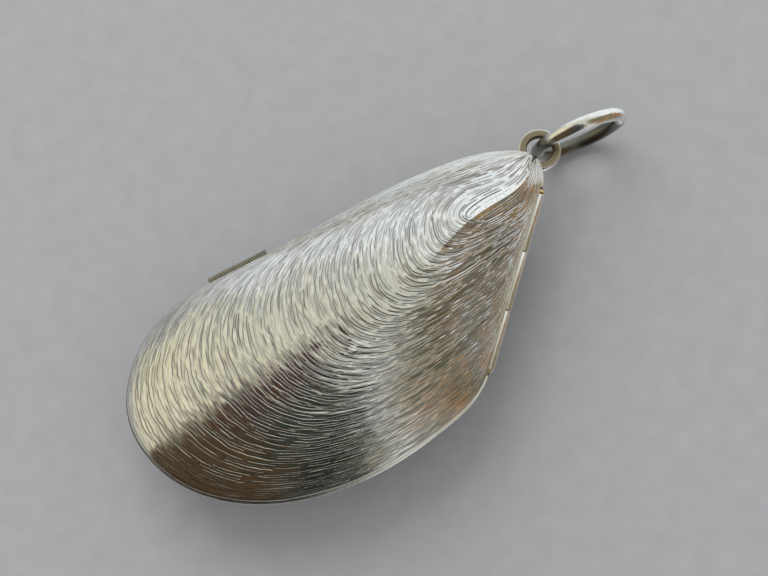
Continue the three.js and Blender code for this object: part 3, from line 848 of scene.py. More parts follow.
def painted_shade_low_and_seat(nodes, place):
    """A mask of painted shade on the part of the ring that lies low, and at its seat in the eye.
    """
    height = nodes.axes(place)["Z"]
    height = nodes.math("MULTIPLY_ADD", nodes.noise(place, LOW_SCALE), -LOW_NOISE * MM, height)
    low = nodes.math("MULTIPLY", nodes.spread(height, LOW_START * MM, LOW_FULL * MM), LOW_STRENGTH)
    seat = (*((EYE_CENTRE - CROWN) * MM), SEAT_HEIGHT * MM)
    reach = nodes.add("ShaderNodeVectorMath", {0: place, 1: seat}, operation="DISTANCE")
    at_seat = nodes.spread(reach.outputs["Value"], SEAT_REACH * MM, SEAT_CORE * MM)
    return nodes.math("MAXIMUM", low, nodes.math("MULTIPLY", at_seat, SEAT_STRENGTH))


def tarnish_inside_highlight_edge(nodes, place):
    """A mask of the eye's tarnish, left off a thin outer edge that stays bright as a painted
    highlight.
    """
    centre = (*((CROWN - EYE_CENTRE) * MM), 0)
    flat = {"Vector": place, "Scale": (1, 1, 0), "Location": centre}
    centred = nodes.add("ShaderNodeMapping", flat)
    reach = nodes.add("ShaderNodeVectorMath", {0: centred.outputs["Vector"]}, operation="LENGTH")
    highlight_band = (EYE_OUTER * MM, (EYE_OUTER - HIGHLIGHT_EDGE) * MM)
    return nodes.spread(reach.outputs["Value"], *highlight_band, "LINEAR")


polished = worn_metal("polished_silver", (0.72, 0.71, 0.67), (0.84, 0.83, 0.80), 0.2)
tarnished = worn_metal("tarnished_silver", (0.36, 0.31, 0.22), (0.66, 0.62, 0.53), 0.34)
gilding = worn_metal("gilding", (0.72, 0.53, 0.23), (0.86, 0.68, 0.35), 0.3)
sponge_look = worn_metal(
    "sponge_fibres", (0.34, 0.21, 0.08), (0.74, 0.55, 0.30), 0.9, scale=1300.0
)
sponge_look.node_tree.nodes["Principled BSDF"].inputs["Metallic"].default_value = 0.0
hinge_look = worn_metal("hinge_silver", (0.78, 0.77, 0.73), (0.92, 0.91, 0.87), 0.3)
# Brown tarnish on the eye, with a thin outer edge left bright as a painted highlight.
EYE_TARNISH_AND_HIGHLIGHT = ((0.31, 0.265, 0.185), tarnish_inside_highlight_edge)
eye_look = worn_metal(
    "brassy_silver", (0.84, 0.83, 0.78), (0.92, 0.91, 0.87), 0.24, tarnish_and_shade=EYE_TARNISH_AND_HIGHLIGHT
)
# Painted shade on the ring's lower part and at its seat in the eye.
RING_PAINTED_SHADE = ((0.115, 0.112, 0.085), painted_shade_low_and_seat)
wire_look = worn_metal(
    "ring_silver", (0.74, 0.73, 0.68), (0.92, 0.91, 0.87), 0.22, tarnish_and_shade=RING_PAINTED_SHADE
)
looks = {
    "silver": polished,
    "tarnished_silver": tarnished,
    "gilt": gilding,
    "sponge": sponge_look,
}
slots = {part["node"]: part["material_slot"] for part in frame["record"]["subparts"]}
for name, node in frame["nodes"].items():
    dress(node, looks[slots[name]])
print("finishes:", ", ".join(material.name for material in bpy.data.materials))

# %% [markdown]
# ## Turned pieces
# Tubes, pins and rings are round about an axis. A modeller could stack cylinders, but then
# each bore is a second shape to cut. Here a section is drawn once as a loop of points and spun
# about its axis, so the bore comes with it, and sharp corners are then rounded. The section is
# drawn in millimetres, and the finished piece is moved to its place on the shell.


# %% Helpers for turned pieces
SHELL_ORIGIN = (-CROWN[0], -CROWN[1], PARTING_HEIGHT)
HINGE_TURN = (0, 0, HINGE_HEADING)
HINGE_PLACE = (HINGE_AXIS[0], HINGE_AXIS[1], 0)
PIECE_MERGE = 1e-4
EDGE_SEGMENTS = 2
CORNER_ANGLE = 30
ROUNDED_ANGLE = 40
FLAT_ANGLE = 35


def set_down(piece, place=(0, 0, 0), turn=(0, 0, 0)):
    """Moves a piece modelled in millimetres to its place on the shell, into its mesh."""
    piece.location = [(value + origin) * MM for value, origin in zip(place, SHELL_ORIGIN)]
    piece.rotation_euler = [math.radians(angle) for angle in turn]
    piece.scale = (MM, MM, MM)
    settle(piece)


def soften(piece, width):
    """Rounds the sharp edges of a piece, as files and wear do."""
    activate(piece)
    bevel = piece.modifiers.new("rounded_edges", "BEVEL")
    bevel.width, bevel.segments = width, EDGE_SEGMENTS
    bevel.limit_method, bevel.angle_limit = "ANGLE", math.radians(CORNER_ANGLE)
    bpy.ops.object.modifier_apply(modifier=bevel.name)
    bpy.ops.object.shade_smooth_by_angle(angle=math.radians(ROUNDED_ANGLE))


def spun(name, section, axis="X", steps=64, solid=False):
    """A section of (radius, along) points turned about an axis. A solid one ends on the axis."""
    deselect()
    bpy.ops.mesh.primitive_circle_add(vertices=len(section), radius=1)
    piece = bpy.context.object
    piece.name = piece.data.name = name
    last = len(section) - 1
    for vertex, (radius, along) in zip(piece.data.vertices, section):
        vertex.co = (along, radius, 0) if axis == "X" else (radius, 0, along)
        vertex.select = vertex.index in (0, last)
    for edge in piece.data.edges:
        edge.select = set(edge.vertices) == {0, last}
    way = (1, 0, 0) if axis == "X" else (0, 0, 1)
    activate(piece)
    bpy.ops.object.mode_set(mode="EDIT")
    if solid:
        bpy.ops.mesh.delete(type="EDGE")
    bpy.ops.mesh.select_all(action="SELECT")
    bpy.ops.mesh.spin(
        steps=steps, angle=2 * math.pi, use_auto_merge=False, center=(0, 0, 0), axis=way
    )
    bpy.ops.mesh.select_all(action="SELECT")
    bpy.ops.mesh.remove_doubles(threshold=PIECE_MERGE)
    bpy.ops.mesh.normals_make_consistent(inside=False)
    bpy.ops.object.mode_set(mode="OBJECT")
    return piece


def joined(piece, other, name, operation):
    """Adds a second piece to the first, or takes it away, and deletes it."""
    activate(piece)
    step = piece.modifiers.new(name, "BOOLEAN")
    step.object, step.operation, step.solver = other, operation, "EXACT"
    bpy.ops.object.modifier_apply(modifier=step.name)
    bpy.data.objects.remove(other)
    activate(piece)
    bpy.ops.object.shade_smooth_by_angle(angle=math.radians(FLAT_ANGLE))


def enter(piece, node, body, look):
    """Says which node a piece stands for, what it moves with, and its finish."""
    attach(piece, body)
    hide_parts(node)
    dress(piece, look)
    low, high = (np.array(corner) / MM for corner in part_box(node))
    corners = np.array([vertex.co[:] for vertex in piece.data.vertices]) / MM
    off = max(np.abs(corners.min(axis=0) - low).max(), np.abs(corners.max(axis=0) - high).max())
    faces = len(piece.data.polygons)
    print(f"{piece.name}: {faces} faces, at most {off:.2f} mm off its node's box")


# %% [markdown]
# ## The lid's hinge
# Three tubes lie end to end in the groove along the straight margin, the outer two soldered to
# the base and the middle one to the lid. A pin runs through them. Its head, beside the tip,
# is a small dome, and the other end is riveted over.

# %% Knuckles and pin of the lid's hinge
KNUCKLE_LENGTH = 5.6
KNUCKLE_GAP = 0.12
KNUCKLE_RADIUS = 0.42
KNUCKLE_BORE = 0.25
KNUCKLE_START = 0.95
KNUCKLE_EDGE = 0.06
PIN_RADIUS = 0.2
PIN_HEAD_RADIUS = 0.4
PIN_TAIL = 0.2
PIN_EDGE = 0.03
# The pin's head from its straight side to its top, as radii and heights.
PIN_HEAD = [(PIN_HEAD_RADIUS, 0.16), (0.36, 0.27), (0.26, 0.35), (0.13, 0.39), (0, 0.4)]
HINGE_END = -KNUCKLE_START - 3 * KNUCKLE_LENGTH - 2 * KNUCKLE_GAP
HEAD_START = -KNUCKLE_START + KNUCKLE_GAP


def knuckle(name, start, length, bore, radius, edge):
    """A short tube with rounded ends."""
    end = start + length
    piece = spun(name, [(bore, start), (radius, start), (radius, end), (bore, end)])
    soften(piece, edge)
    return piece


knuckle_nodes = ["base_knuckle_1", "lid_knuckle_1", "base_knuckle_2"]
for index, node in enumerate(knuckle_nodes):
    start = HINGE_END + index * (KNUCKLE_LENGTH + KNUCKLE_GAP)
    tube = knuckle(
        "turned_" + node, start, KNUCKLE_LENGTH, KNUCKLE_BORE, KNUCKLE_RADIUS, KNUCKLE_EDGE
    )
    set_down(tube, HINGE_PLACE, HINGE_TURN)
    enter(tube, node, node.split("_")[0], hinge_look)

pin = spun("riveted_pin", [
    (0, HINGE_END - PIN_TAIL),
    (PIN_RADIUS, HINGE_END - PIN_TAIL),
    (PIN_RADIUS, HEAD_START),
    (PIN_HEAD_RADIUS, HEAD_START),
    *((radius, HEAD_START + height) for radius, height in PIN_HEAD),
], solid=True)
soften(pin, PIN_EDGE)
set_down(pin, HINGE_PLACE, HINGE_TURN)
enter(pin, "hinge_pin", "base", gilding)

# %% [markdown]
# ## Eye and suspension ring
# The eye is a flat ring, filed flush to the tip and soldered there. It is spun from a rounded
# section, and a block in the shell's outline is taken away from it. The suspension ring is
# round wire bent to a circle through the eye. Its joint is soldered, which leaves a small
# swelling and a fine line across the wire. Where it sits in the eye, years of swinging have
# worn the wire thinner, and that also keeps it clear of the eye when it swings.

# %% The eye
EYE_BORE = 1.2
EYE_HALF = 0.35
EYE_BELOW = 0.06
EYE_HEIGHT = -EYE_BELOW - EYE_HALF
EYE_ROUND = 0.15
EYE_STEPS = 96
CORNER_STEPS = 4
SOLDER_SINK = 0.03
BLOCK_POINTS = 500
BLOCK_REACH = 2


def rounded_section(inner, outer, half, round_off):
    """A rectangle between two radii with rounded corners, as section points."""
    corners = [(inner, -half, 180), (outer, -half, 270), (outer, half, 0), (inner, half, 90)]
    points = []
    for radius, height, first in corners:
        centre_r = radius + round_off * (1 if radius == inner else -1)
        centre_h = height - math.copysign(round_off, height)
        for step in range(CORNER_STEPS + 1):
            turn = math.radians(first + 90 * step / CORNER_STEPS)
            across, up = round_off * math.cos(turn), round_off * math.sin(turn)
            points.append((centre_r + across, centre_h + up))
    return points


def flat_piece(name, outlines, low, high, bevel):
    """A plate between two heights, cut to closed outlines: the first outside, the rest holes."""
    curve = bpy.data.curves.new(name, "CURVE")
    curve.dimensions, curve.fill_mode = "2D", "BOTH"
    curve.extrude, curve.bevel_depth, curve.bevel_resolution = (high - low) / 2 - bevel, bevel, 1
    curve.offset = -bevel
    for outline in outlines:
        spline = curve.splines.new("POLY")
        spline.points.add(len(outline) - 1)
        for point, (x, y) in zip(spline.points, outline):
            point.co = (x, y, 0, 1)
        spline.use_cyclic_u = True
    drawn = bpy.data.objects.new(name, curve)
    bpy.context.scene.collection.objects.link(drawn)
    activate(drawn)
    bpy.ops.object.convert(target="MESH")
    piece = bpy.context.object
    piece.name = piece.data.name = name
    piece.location = (0, 0, (low + high) / 2)
    settle(piece)
    in_edit_mode(
        piece,
        lambda: bpy.ops.mesh.remove_doubles(threshold=PIECE_MERGE),
        lambda: bpy.ops.mesh.normals_make_consistent(inside=False),
    )
    bpy.ops.object.shade_smooth_by_angle(angle=math.radians(FLAT_ANGLE))
    return piece


eye_section = rounded_section(EYE_BORE, EYE_OUTER, EYE_HALF, EYE_ROUND)
eye = spun("filed_eye", eye_section, "Z", EYE_STEPS)
eye.location = (*EYE_CENTRE, EYE_HEIGHT)
settle(eye)
tip_line = edge_at(np.linspace(0, EDGE_LENGTH, BLOCK_POINTS, endpoint=False), SOLDER_SINK)
tip_block = flat_piece("tip_block", [tip_line], -BLOCK_REACH, BLOCK_REACH, 0)
joined(eye, tip_block, "flush_with_the_tip", "DIFFERENCE")
set_down(eye)
enter(eye, "suspension_eye", "base", eye_look)

# %% The suspension ring
RING_OUTER = 4.75
WIRE = 0.64
RING_MEAN = RING_OUTER - WIRE
RING_PLAY = 0.1
RING_SEAT = -5
RING_YAW = -15
RING_LEAN = 6
RING_STEPS = 180
WIRE_SIDES = 36
SOLDER_PLACE = 52
SOLDER_WIDTH = 3.2
SOLDER_SWELLING = 0.035
SOLDER_LINE = 0.07
WEAR = 0.1
WEAR_REACH = 20
eye_wire = (EYE_OUTER - EYE_BORE) / 2
ring_reach = RING_MEAN - WIRE - eye_wire - RING_PLAY
ring_drop = (PARTING_HEIGHT + EYE_HEIGHT - WIRE) / math.cos(math.radians(RING_LEAN)) - RING_MEAN
ring_out = math.sqrt(ring_reach**2 - ring_drop**2)
deselect()
bpy.ops.mesh.primitive_torus_add(
    major_segments=RING_STEPS, minor_segments=WIRE_SIDES, major_radius=RING_MEAN, minor_radius=WIRE
)
ring = bpy.context.object
ring.name = ring.data.name = "soldered_ring"
seat_place = math.degrees(math.atan2(ring_drop, -ring_out))


def wire_share(place):
    """The wire's thickness at a place round the ring: swollen at the joint, worn at the seat."""
    from_joint = (place - SOLDER_PLACE + 180) % 360 - 180
    from_seat = (place - seat_place + 180) % 360 - 180
    swelling = SOLDER_SWELLING * math.exp(-(from_joint / SOLDER_WIDTH) ** 2)
    line = SOLDER_LINE if abs(from_joint) < 0.5 * 360 / RING_STEPS else 0
    return 1 + swelling - line - WEAR * math.exp(-(from_seat / WEAR_REACH) ** 2)


for vertex in ring.data.vertices:
    turn = math.atan2(vertex.co.y, vertex.co.x)
    centre = Vector((RING_MEAN * math.cos(turn), RING_MEAN * math.sin(turn), 0))
    vertex.co = centre + (vertex.co - centre) * wire_share(math.degrees(turn))
activate(ring)
bpy.ops.object.shade_smooth()
ring.rotation_euler = (math.pi / 2, 0, 0)
ring.location = (ring_out, 0, -ring_drop)
settle(ring)
ring_pivot = EYE_CENTRE + heading(RING_SEAT) * (EYE_BORE + eye_wire)
set_down(ring, (*ring_pivot, EYE_HEIGHT), (RING_LEAN, 0, RING_YAW))
enter(ring, "suspension_ring", "ring", wire_look)

# %% [markdown]
# ## Thumbpiece
# A strip on the lid's free edge gives the thumbnail a hold. It is milled with fine ribs. A flat
# outline with a wavy outer side is enough, because the ribs run straight up. The notches are
# darkened with painted shade, so its mask follows the same count of ribs.

# %% The thumbpiece
THUMB_BACK = 30.7
THUMB_LENGTH = 5.7
THUMB_REACH = 0.3
THUMB_HEIGHT = 0.5
THUMB_RIBS = 26
RIB_DEPTH = 0.07
THUMB_EDGE = 0.04
POINTS_PER_RIB = 12
NOTCH_SHADE_STRENGTH = 0.45
# The outline's first four spans run along the ventral side.
VENTRAL = slice(0, 4 * SPAN_SAMPLES)


def ventral_distance(x):
    """How far along the edge the ventral side has a given x."""
    return np.interp(-np.asarray(x, float), -edge_points[VENTRAL, 0], edge_distance[:-1][VENTRAL])


share = np.linspace(0, 1, POINTS_PER_RIB * THUMB_RIBS + 1)
thumb_places = ventral_distance(-THUMB_BACK + THUMB_LENGTH * share)
wave = np.sin(np.pi * THUMB_RIBS * share) ** 2
proud = THUMB_REACH - RIB_DEPTH * (1 - wave)
thumb_outside = np.vstack([edge_at(place, -reach) for place, reach in zip(thumb_places, proud)])
thumb_inside = edge_at(thumb_places, LID_STEP)
thumb_line = np.vstack([thumb_outside, thumb_inside[::-1]])
thumbpiece = flat_piece("milled_thumbpiece", [thumb_line], 0, THUMB_HEIGHT, THUMB_EDGE)
set_down(thumbpiece, (0, 0, LID_LIFT))


def shaded_notches(nodes, place):
    """A mask of painted shade in the notches of the thumbpiece."""
    along = nodes.axes(place)["X"]
    rib = THUMB_LENGTH / THUMB_RIBS * MM
    first_notch = (-THUMB_BACK - CROWN[0]) * MM
    turns = nodes.math("MULTIPLY_ADD", along, 2 * math.pi / rib, -2 * math.pi * first_notch / rib)
    return nodes.math("MULTIPLY_ADD", nodes.math("COSINE", turns), NOTCH_SHADE_STRENGTH, NOTCH_SHADE_STRENGTH)


# Painted shade in the notches of the thumbpiece.
THUMB_NOTCH_SHADE = ((0.07, 0.066, 0.05), shaded_notches)
thumb_look = worn_metal(
    "thumb_silver", (0.30, 0.28, 0.21), (0.52, 0.49, 0.40), 0.34, tarnish_and_shade=THUMB_NOTCH_SHADE
)
enter(thumbpiece, "thumbpiece", "lid", thumb_look)

# %% [markdown]
# ## Bezel and grille
# Inside the base stands a thin bezel, which the lid closes over. It is a strip that follows
# the outline and is open at the tip and along the hinge. The grille behind it is a gilded plate,
# pierced with a border of round holes and three flowers. Drawing it as a filled curve with
# holes is the quickest way to a pierced plate, and the curve's bevel rounds every edge.

# %% The bezel
BEZEL_OUTER = 0.75
BEZEL_INNER = 1.15
BEZEL_LOW, BEZEL_HIGH = -0.45, 0.4
BEZEL_EDGE = 0.07
BEZEL_POINTS = 260
MOUTH_TIP = 3.8
BEARER = 0.42
SEARCH_POINTS = 6000
PAST_TIP = 1


def first_place(inset, measure, start, end):
    """The first distance along an inset edge at which a measure turns negative."""
    places = np.linspace(start, end, SEARCH_POINTS)
    return places[np.flatnonzero(measure(edge_at(places, inset)) < 0)[0]]


def left_of_tip(points):
    """Negative from where the bezel's mouth ends at the tip."""
    return points[:, 0] + MOUTH_TIP


def short_of_hinge(points):
    """Negative from where the hinge's bearer begins."""
    return -((points - HINGE_AXIS) @ HINGE_WAY) + HINGE_END - BEARER


def bezel_side(inset):
    """One side of the bezel's strip, drawn in from the outline."""
    start = first_place(inset, left_of_tip, PAST_TIP, EDGE_LENGTH / 2)
    end = first_place(inset, short_of_hinge, EDGE_LENGTH / 2, EDGE_LENGTH)
    return edge_at(np.linspace(start, end, BEZEL_POINTS), inset)


bezel_line = np.vstack([bezel_side(BEZEL_OUTER), bezel_side(BEZEL_INNER)[::-1]])
bezel = flat_piece("bent_bezel", [bezel_line], BEZEL_LOW, BEZEL_HIGH, BEZEL_EDGE)
set_down(bezel)
enter(bezel, "base_bezel", "base", gilding)

# %% The grille's outline and the shapes of its holes
GRILLE_POINTS = 700
GRILLE_INSET = 1.25
GRILLE_LOW, GRILLE_HIGH = -0.41, -0.11
GRILLE_EDGE = 0.05
GRILLE_HINGE_SIDE = 2.29
GRILLE_CORNER = 20.6
GRILLE_TIP = 3.9
GRILLE_BORDER = 1.2
GRILLE_WEB = 0.45
HOLE_RADIUS = 0.5
HOLE_PITCH = 2.6
HOLE_POINTS = 24
HOLE_ROWS = range(-8, 9)
HOLE_COLUMNS = range(18)
PETALS = 6
PETAL_WIDTH = 1.3
PETAL_POINTS = 10
FLOWER_BORE = 0.7
FLOWERS = [((-14.2, -1.6), 2.9), ((-24.05, -3.4), 4.6), ((-35.0, -2.2), 4.0)]
grille_sides = [
    lambda p: (p - HINGE_AXIS) @ HINGE_INWARD - GRILLE_HINGE_SIDE,
    lambda p: -GRILLE_TIP - p[:, 0],
    lambda p: GRILLE_CORNER + (p - HINGE_AXIS) @ (HINGE_INWARD + HINGE_WAY) - GRILLE_HINGE_SIDE,
]


def clipped(outline, side):
    """The part of a closed outline where a straight side's depth is positive."""
    depth = side(outline)
    kept = []
    for here, after, d, e in zip(outline, np.roll(outline, -1, 0), depth, np.roll(depth, -1)):
        if d >= 0:
            kept.append(here)
        if (d < 0) != (e < 0):
            kept.append(here + (after - here) * d / (d - e))
    return np.array(kept)


def grille_line(border):
    """The grille's outline, drawn in by a border."""
    places = np.linspace(0, EDGE_LENGTH, GRILLE_POINTS, endpoint=False)
    outline = edge_at(places, GRILLE_INSET + border)
    for side in grille_sides:
        outline = clipped(outline, lambda p: side(p) - border)
    return outline


def round_hole(centre, radius=HOLE_RADIUS):
    """A drilled hole."""
    turns = np.linspace(0, 360, HOLE_POINTS, endpoint=False)
    return np.array([centre + radius * heading(turn) for turn in turns])


def petal_hole(centre, turn, inner, outer):
    """An almond between two radii of a flower."""
    t = np.linspace(0, 1, PETAL_POINTS, endpoint=False)[:, None]
    way = heading(turn)
    root, point = centre + inner * way, centre + outer * way
    sides = []
    for start, end, swing in ((root, point, -1), (point, root, 1)):
        middle = (root + point) / 2 + swing * PETAL_WIDTH * heading(turn + 90)
        sides.append((1 - t) ** 2 * start + 2 * t * (1 - t) * middle + t**2 * end)
    return np.vstack(sides)


# %% Lay out the holes and pierce the grille
border_line = grille_line(GRILLE_BORDER)
border_closed = np.vstack([border_line, border_line[:1]])
steps = np.concatenate([[0], np.cumsum(np.linalg.norm(np.diff(border_closed, axis=0), axis=1))])
border_places = np.linspace(0, steps[-1], round(steps[-1] / HOLE_PITCH), endpoint=False)
border_holes = np.column_stack([
    np.interp(border_places, steps, border_closed[:, i]) for i in (0, 1)
])


def has_room(centre):
    """Whether a round hole clears the sides, the flowers and the holes of the border."""
    inside = min(float(side(centre[None])[0]) for side in grille_sides)
    nearest = np.linalg.norm(edge_points - centre, axis=1).argmin()
    from_edge = (centre - edge_points[nearest]) @ edge_inward[nearest] - GRILLE_INSET
    off_flowers = all(
        np.linalg.norm(centre - place) > radius + HOLE_RADIUS + GRILLE_WEB
        for place, radius in FLOWERS
    )
    off_border = np.linalg.norm(border_holes - centre, axis=1).min() - 2 * HOLE_RADIUS
    return min(inside, from_edge) > GRILLE_BORDER and off_flowers and off_border > GRILLE_WEB


grille_holes = [round_hole(centre) for centre in border_holes]
for centre, radius in FLOWERS:
    centre = np.array(centre)
    grille_holes.append(round_hole(centre, FLOWER_BORE))
    for petal in range(PETALS):
        turn = 360 * petal / PETALS
        grille_holes.append(petal_hole(centre, turn, FLOWER_BORE + GRILLE_WEB, radius))
row_pitch = HOLE_PITCH * math.sqrt(3) / 2
for row in HOLE_ROWS:
    for column in HOLE_COLUMNS:
        centre = np.array([-(column + math.fmod(row, 2) / 2) * HOLE_PITCH, row * row_pitch])
        if has_room(centre):
            grille_holes.append(round_hole(centre))
grille_lines = [grille_line(0), *grille_holes]
grille = flat_piece("pierced_grille", grille_lines, GRILLE_LOW, GRILLE_HIGH, GRILLE_EDGE)
set_down(grille)
enter(grille, "grille_plate", "grille", gilding)
print("holes in the grille:", len(grille_holes))

# %% [markdown]
# ## The grille's hinge and lift
# The grille has a hinge of its own on the ledge: two short tubes on the base, one between them
# with a leaf soldered on the grille, and a pin. On the far side a small ribbed lift is soldered on
# the grille for a fingernail.

# %% Small hinge and lift
SMALL_KNUCKLE = 1.7
SMALL_RADIUS = 0.34
SMALL_BORE = 0.19
SMALL_PIN = 0.14
SMALL_END = -13.06
SMALL_INSET = 1.85
SMALL_HEIGHT = -0.11
LEAF_LOW, LEAF_HIGH = 0.06, 0.26
LEAF_ROOT, LEAF_TIP = 0.26, 1.84
LEAF_CORNER = 0.35
SMALL_EDGE = 0.04
small_place = (*(HINGE_AXIS + SMALL_INSET * HINGE_INWARD), SMALL_HEIGHT)
small_nodes = [
    ("grille_base_knuckle_1", "base"),
    ("grille_leaf_knuckle", "grille"),
    ("grille_base_knuckle_2", "base"),
]


def hinge_leaf(start, end):
    """The leaf beside the middle tube, a plate with its two outer corners cut off."""
    line = [
        (start, LEAF_ROOT),
        (end, LEAF_ROOT),
        (end, LEAF_TIP - LEAF_CORNER),
        (end - LEAF_CORNER, LEAF_TIP),
        (start + LEAF_CORNER, LEAF_TIP),
        (start, LEAF_TIP - LEAF_CORNER),
    ]
    return flat_piece("leaf", [line], LEAF_LOW, LEAF_HIGH, SMALL_EDGE)


for index, (node, body) in enumerate(small_nodes):
    start = SMALL_END + index * (SMALL_KNUCKLE + KNUCKLE_GAP)
    tube = knuckle("turned_" + node, start, SMALL_KNUCKLE, SMALL_BORE, SMALL_RADIUS, SMALL_EDGE)
    if body == "grille":
        joined(tube, hinge_leaf(start, start + SMALL_KNUCKLE), "soldered_leaf", "UNION")
    set_down(tube, small_place, HINGE_TURN)
    enter(tube, node, body, gilding)

small_end = SMALL_END + 3 * (SMALL_KNUCKLE + KNUCKLE_GAP)
small_pin = spun("small_pin", [
    (0, SMALL_END - PIN_TAIL), (SMALL_PIN, SMALL_END - PIN_TAIL),
    (SMALL_PIN, small_end + PIN_TAIL), (0, small_end + PIN_TAIL),
], solid=True)
soften(small_pin, SMALL_EDGE)
set_down(small_pin, small_place, HINGE_TURN)
enter(small_pin, "grille_pin", "base", gilding)

# %% The lift
LIFT_LENGTH, LIFT_WIDTH, LIFT_THICK = 2.4, 0.9, 0.25
LIFT_SINK = 0.05
LIFT_EDGE = 0.06
LIFT_BACK = 25.5
LIFT_INSET = 1.8
LIFT_RIBS = 6
LIFT_NOTCH = 0.07
LIFT_POINTS = 49
lift_place = ventral_distance(-LIFT_BACK)
lift_centre = edge_at(lift_place, LIFT_INSET)[0]
lift_inward = edge_at(lift_place, 1)[0] - edge_at(lift_place, 0)[0]
lift_share = np.linspace(-0.5, 0.5, LIFT_POINTS)
notch = LIFT_NOTCH * (1 - np.abs(np.cos(np.pi * LIFT_RIBS * lift_share)))
lift_front = np.column_stack([lift_share * LIFT_LENGTH, LIFT_WIDTH / 2 - notch])
lift_back = [(LIFT_LENGTH / 2, -LIFT_WIDTH / 2), (-LIFT_LENGTH / 2, -LIFT_WIDTH / 2)]
lift_line = np.vstack([lift_front, lift_back])
lift = flat_piece("ribbed_lift", [lift_line], -LIFT_SINK, -LIFT_SINK + LIFT_THICK, LIFT_EDGE)
lift_turn = math.degrees(math.atan2(-lift_inward[0], lift_inward[1]))
set_down(lift, (*lift_centre, 0), (0, 0, lift_turn))
enter(lift, "grille_lift", "grille", gilding)

# %% [markdown]
# ## The sponge
# A slice of natural sponge fills the well under the grille. It is soft and full of pores, so
# its plain solid is remeshed finely, and pores of two sizes are pressed inward. The pressing
# only goes inward, so the sponge stays clear of the silver.

# %% Natural sponge
SPONGE_VOXEL = 0.26 * MM
SPONGE_MERGE = 1e-6
# Each kind of pore: its pattern, its size and its depth.
SPONGE_PORES = [("VORONOI", 1.1 * MM, 0.45 * MM), ("CLOUDS", 2.6 * MM, 0.35 * MM)]
sponge = bpy.data.objects.new("natural_sponge", frame["nodes"]["sponge"].data.copy())
bpy.context.scene.collection.objects.link(sponge)
in_edit_mode(sponge, lambda: bpy.ops.mesh.remove_doubles(threshold=SPONGE_MERGE))
refine = sponge.modifiers.new("refine", "REMESH")
refine.mode, refine.voxel_size = "VOXEL", SPONGE_VOXEL
bpy.ops.object.modifier_apply(modifier=refine.name)
for kind, size, depth in SPONGE_PORES:
    pattern = bpy.data.textures.new("pores_" + kind.lower(), kind)
    pattern.noise_scale = size
    pores = sponge.modifiers.new("pores", "DISPLACE")
    pores.texture, pores.strength, pores.mid_level = pattern, depth, 1.0
    activate(sponge)
    bpy.ops.object.modifier_apply(modifier=pores.name)
bpy.ops.object.shade_smooth()
enter(sponge, "sponge", "base", sponge_look)

# %% [markdown]
# ## The sheet of paper
# The vinaigrette lies on a plain sheet of pale grey paper with a hardly visible cloudiness.
# The paper takes its shadow, but is left out of reflections, so the silver shows the room.

# %% The sheet of paper
FLOOR_SIZE = 1.6
PAPER_TONES = [(0.3, (0.338, 0.344, 0.350)), (0.7, (0.364, 0.370, 0.378))]
PAPER_SCALE, PAPER_DETAIL = 500.0, 5.0
PAPER_ROUGHNESS = 0.9
deselect()
bpy.ops.mesh.primitive_plane_add(size=FLOOR_SIZE, location=(0, 0, 0))
floor = bpy.context.object
floor.name = "paper"
paper, nodes, shader = new_material("pale_paper")
fibres = nodes.noise(nodes.object_place(), PAPER_SCALE, PAPER_DETAIL)
nodes.tree.links.new(nodes.ramp(fibres, PAPER_TONES), shader.inputs["Base Color"])
shader.inputs["Roughness"].default_value = PAPER_ROUGHNESS
dress(floor, paper)
floor.visible_glossy = False

# %% [markdown]
# ## The room
# Polished silver looks like what stands around it. A picture of a room could be wrapped round
# the scene, but here the room is painted from soft masks: each is a direction over the floor
# and a start and an end along it, made uneven by noise. East is toward the tip and the ring,
# and north is the ventral side. Matt surfaces are lit by one even tone instead, so that the
# paper keeps plain light, and one large soft lamp on the ventral side gives the shadow.

# %% Colours of the room
CREAM_WALL = (0.80, 0.755, 0.56)
GREY_WALL = (0.68, 0.69, 0.60)
WINDOW_WHITE = (0.98, 1.03, 1.08)
BROWN_DARK = (0.085, 0.055, 0.03)
GREEN_DARK = (0.02, 0.026, 0.02)
SLATE = (0.055, 0.07, 0.066)
MAROON = (0.07, 0.035, 0.035)
WARM_WOOD = (0.58, 0.27, 0.11)
OLIVE = (0.165, 0.18, 0.125)
EVEN_LIGHT = (0.755, 0.755, 0.76)
HORIZON = (0.42, 0.43, 0.45)

# %% Directions of the masks
# Each mask: its shares of east and of north, then where it starts and ends.
GREY_EAST = (1, 0, -0.5, 0.1)
OLIVE_EAST, OLIVE_SOUTH = (1, 0, 0.0, 0.2), (0, -1, 0.12, 0.3)
WOOD_EAST, WOOD_SOUTH = (1, 0, 0.1, 0.24), (0, -1, 0.08, 0.3)
SOUTHERN = (0, -1, 0.15, 0.35)
WINDOW_EAST = (0.85, 0.35, 0.36, 0.62)
SHADE_SOUTH = (0, -1, -0.1, 0.25)
BROWN_WEST = (-1, 0, 0.42, 0.62)
DARK_WEST, DARK_SOUTH = (-1, 0, 0.0, 0.12), (0.15, -1, -0.36, -0.26)
STRIP_START, STRIP_END = (1, 0, -0.03, 0.02), (1, 0, 0.05, 0.10)
STRIP_SOUTH = (0, -1, -0.05, 0.1)
# Heights over the horizon, and the patches of a coarser noise.
LOW_SKY = (0.08, 0.02)
UNDER_FLOOR = (-0.35, -0.75)
WOOD_PATCHES = (0.50, 0.56)
SLATE_PATCHES = (0.48, 0.60)
PATCH_SCALE, PATCH_DETAIL = 4.0, 4.0
RIPPLE_SCALE, RIPPLE_DETAIL = 2.6, 3.0
RIPPLE_REACH = 0.5

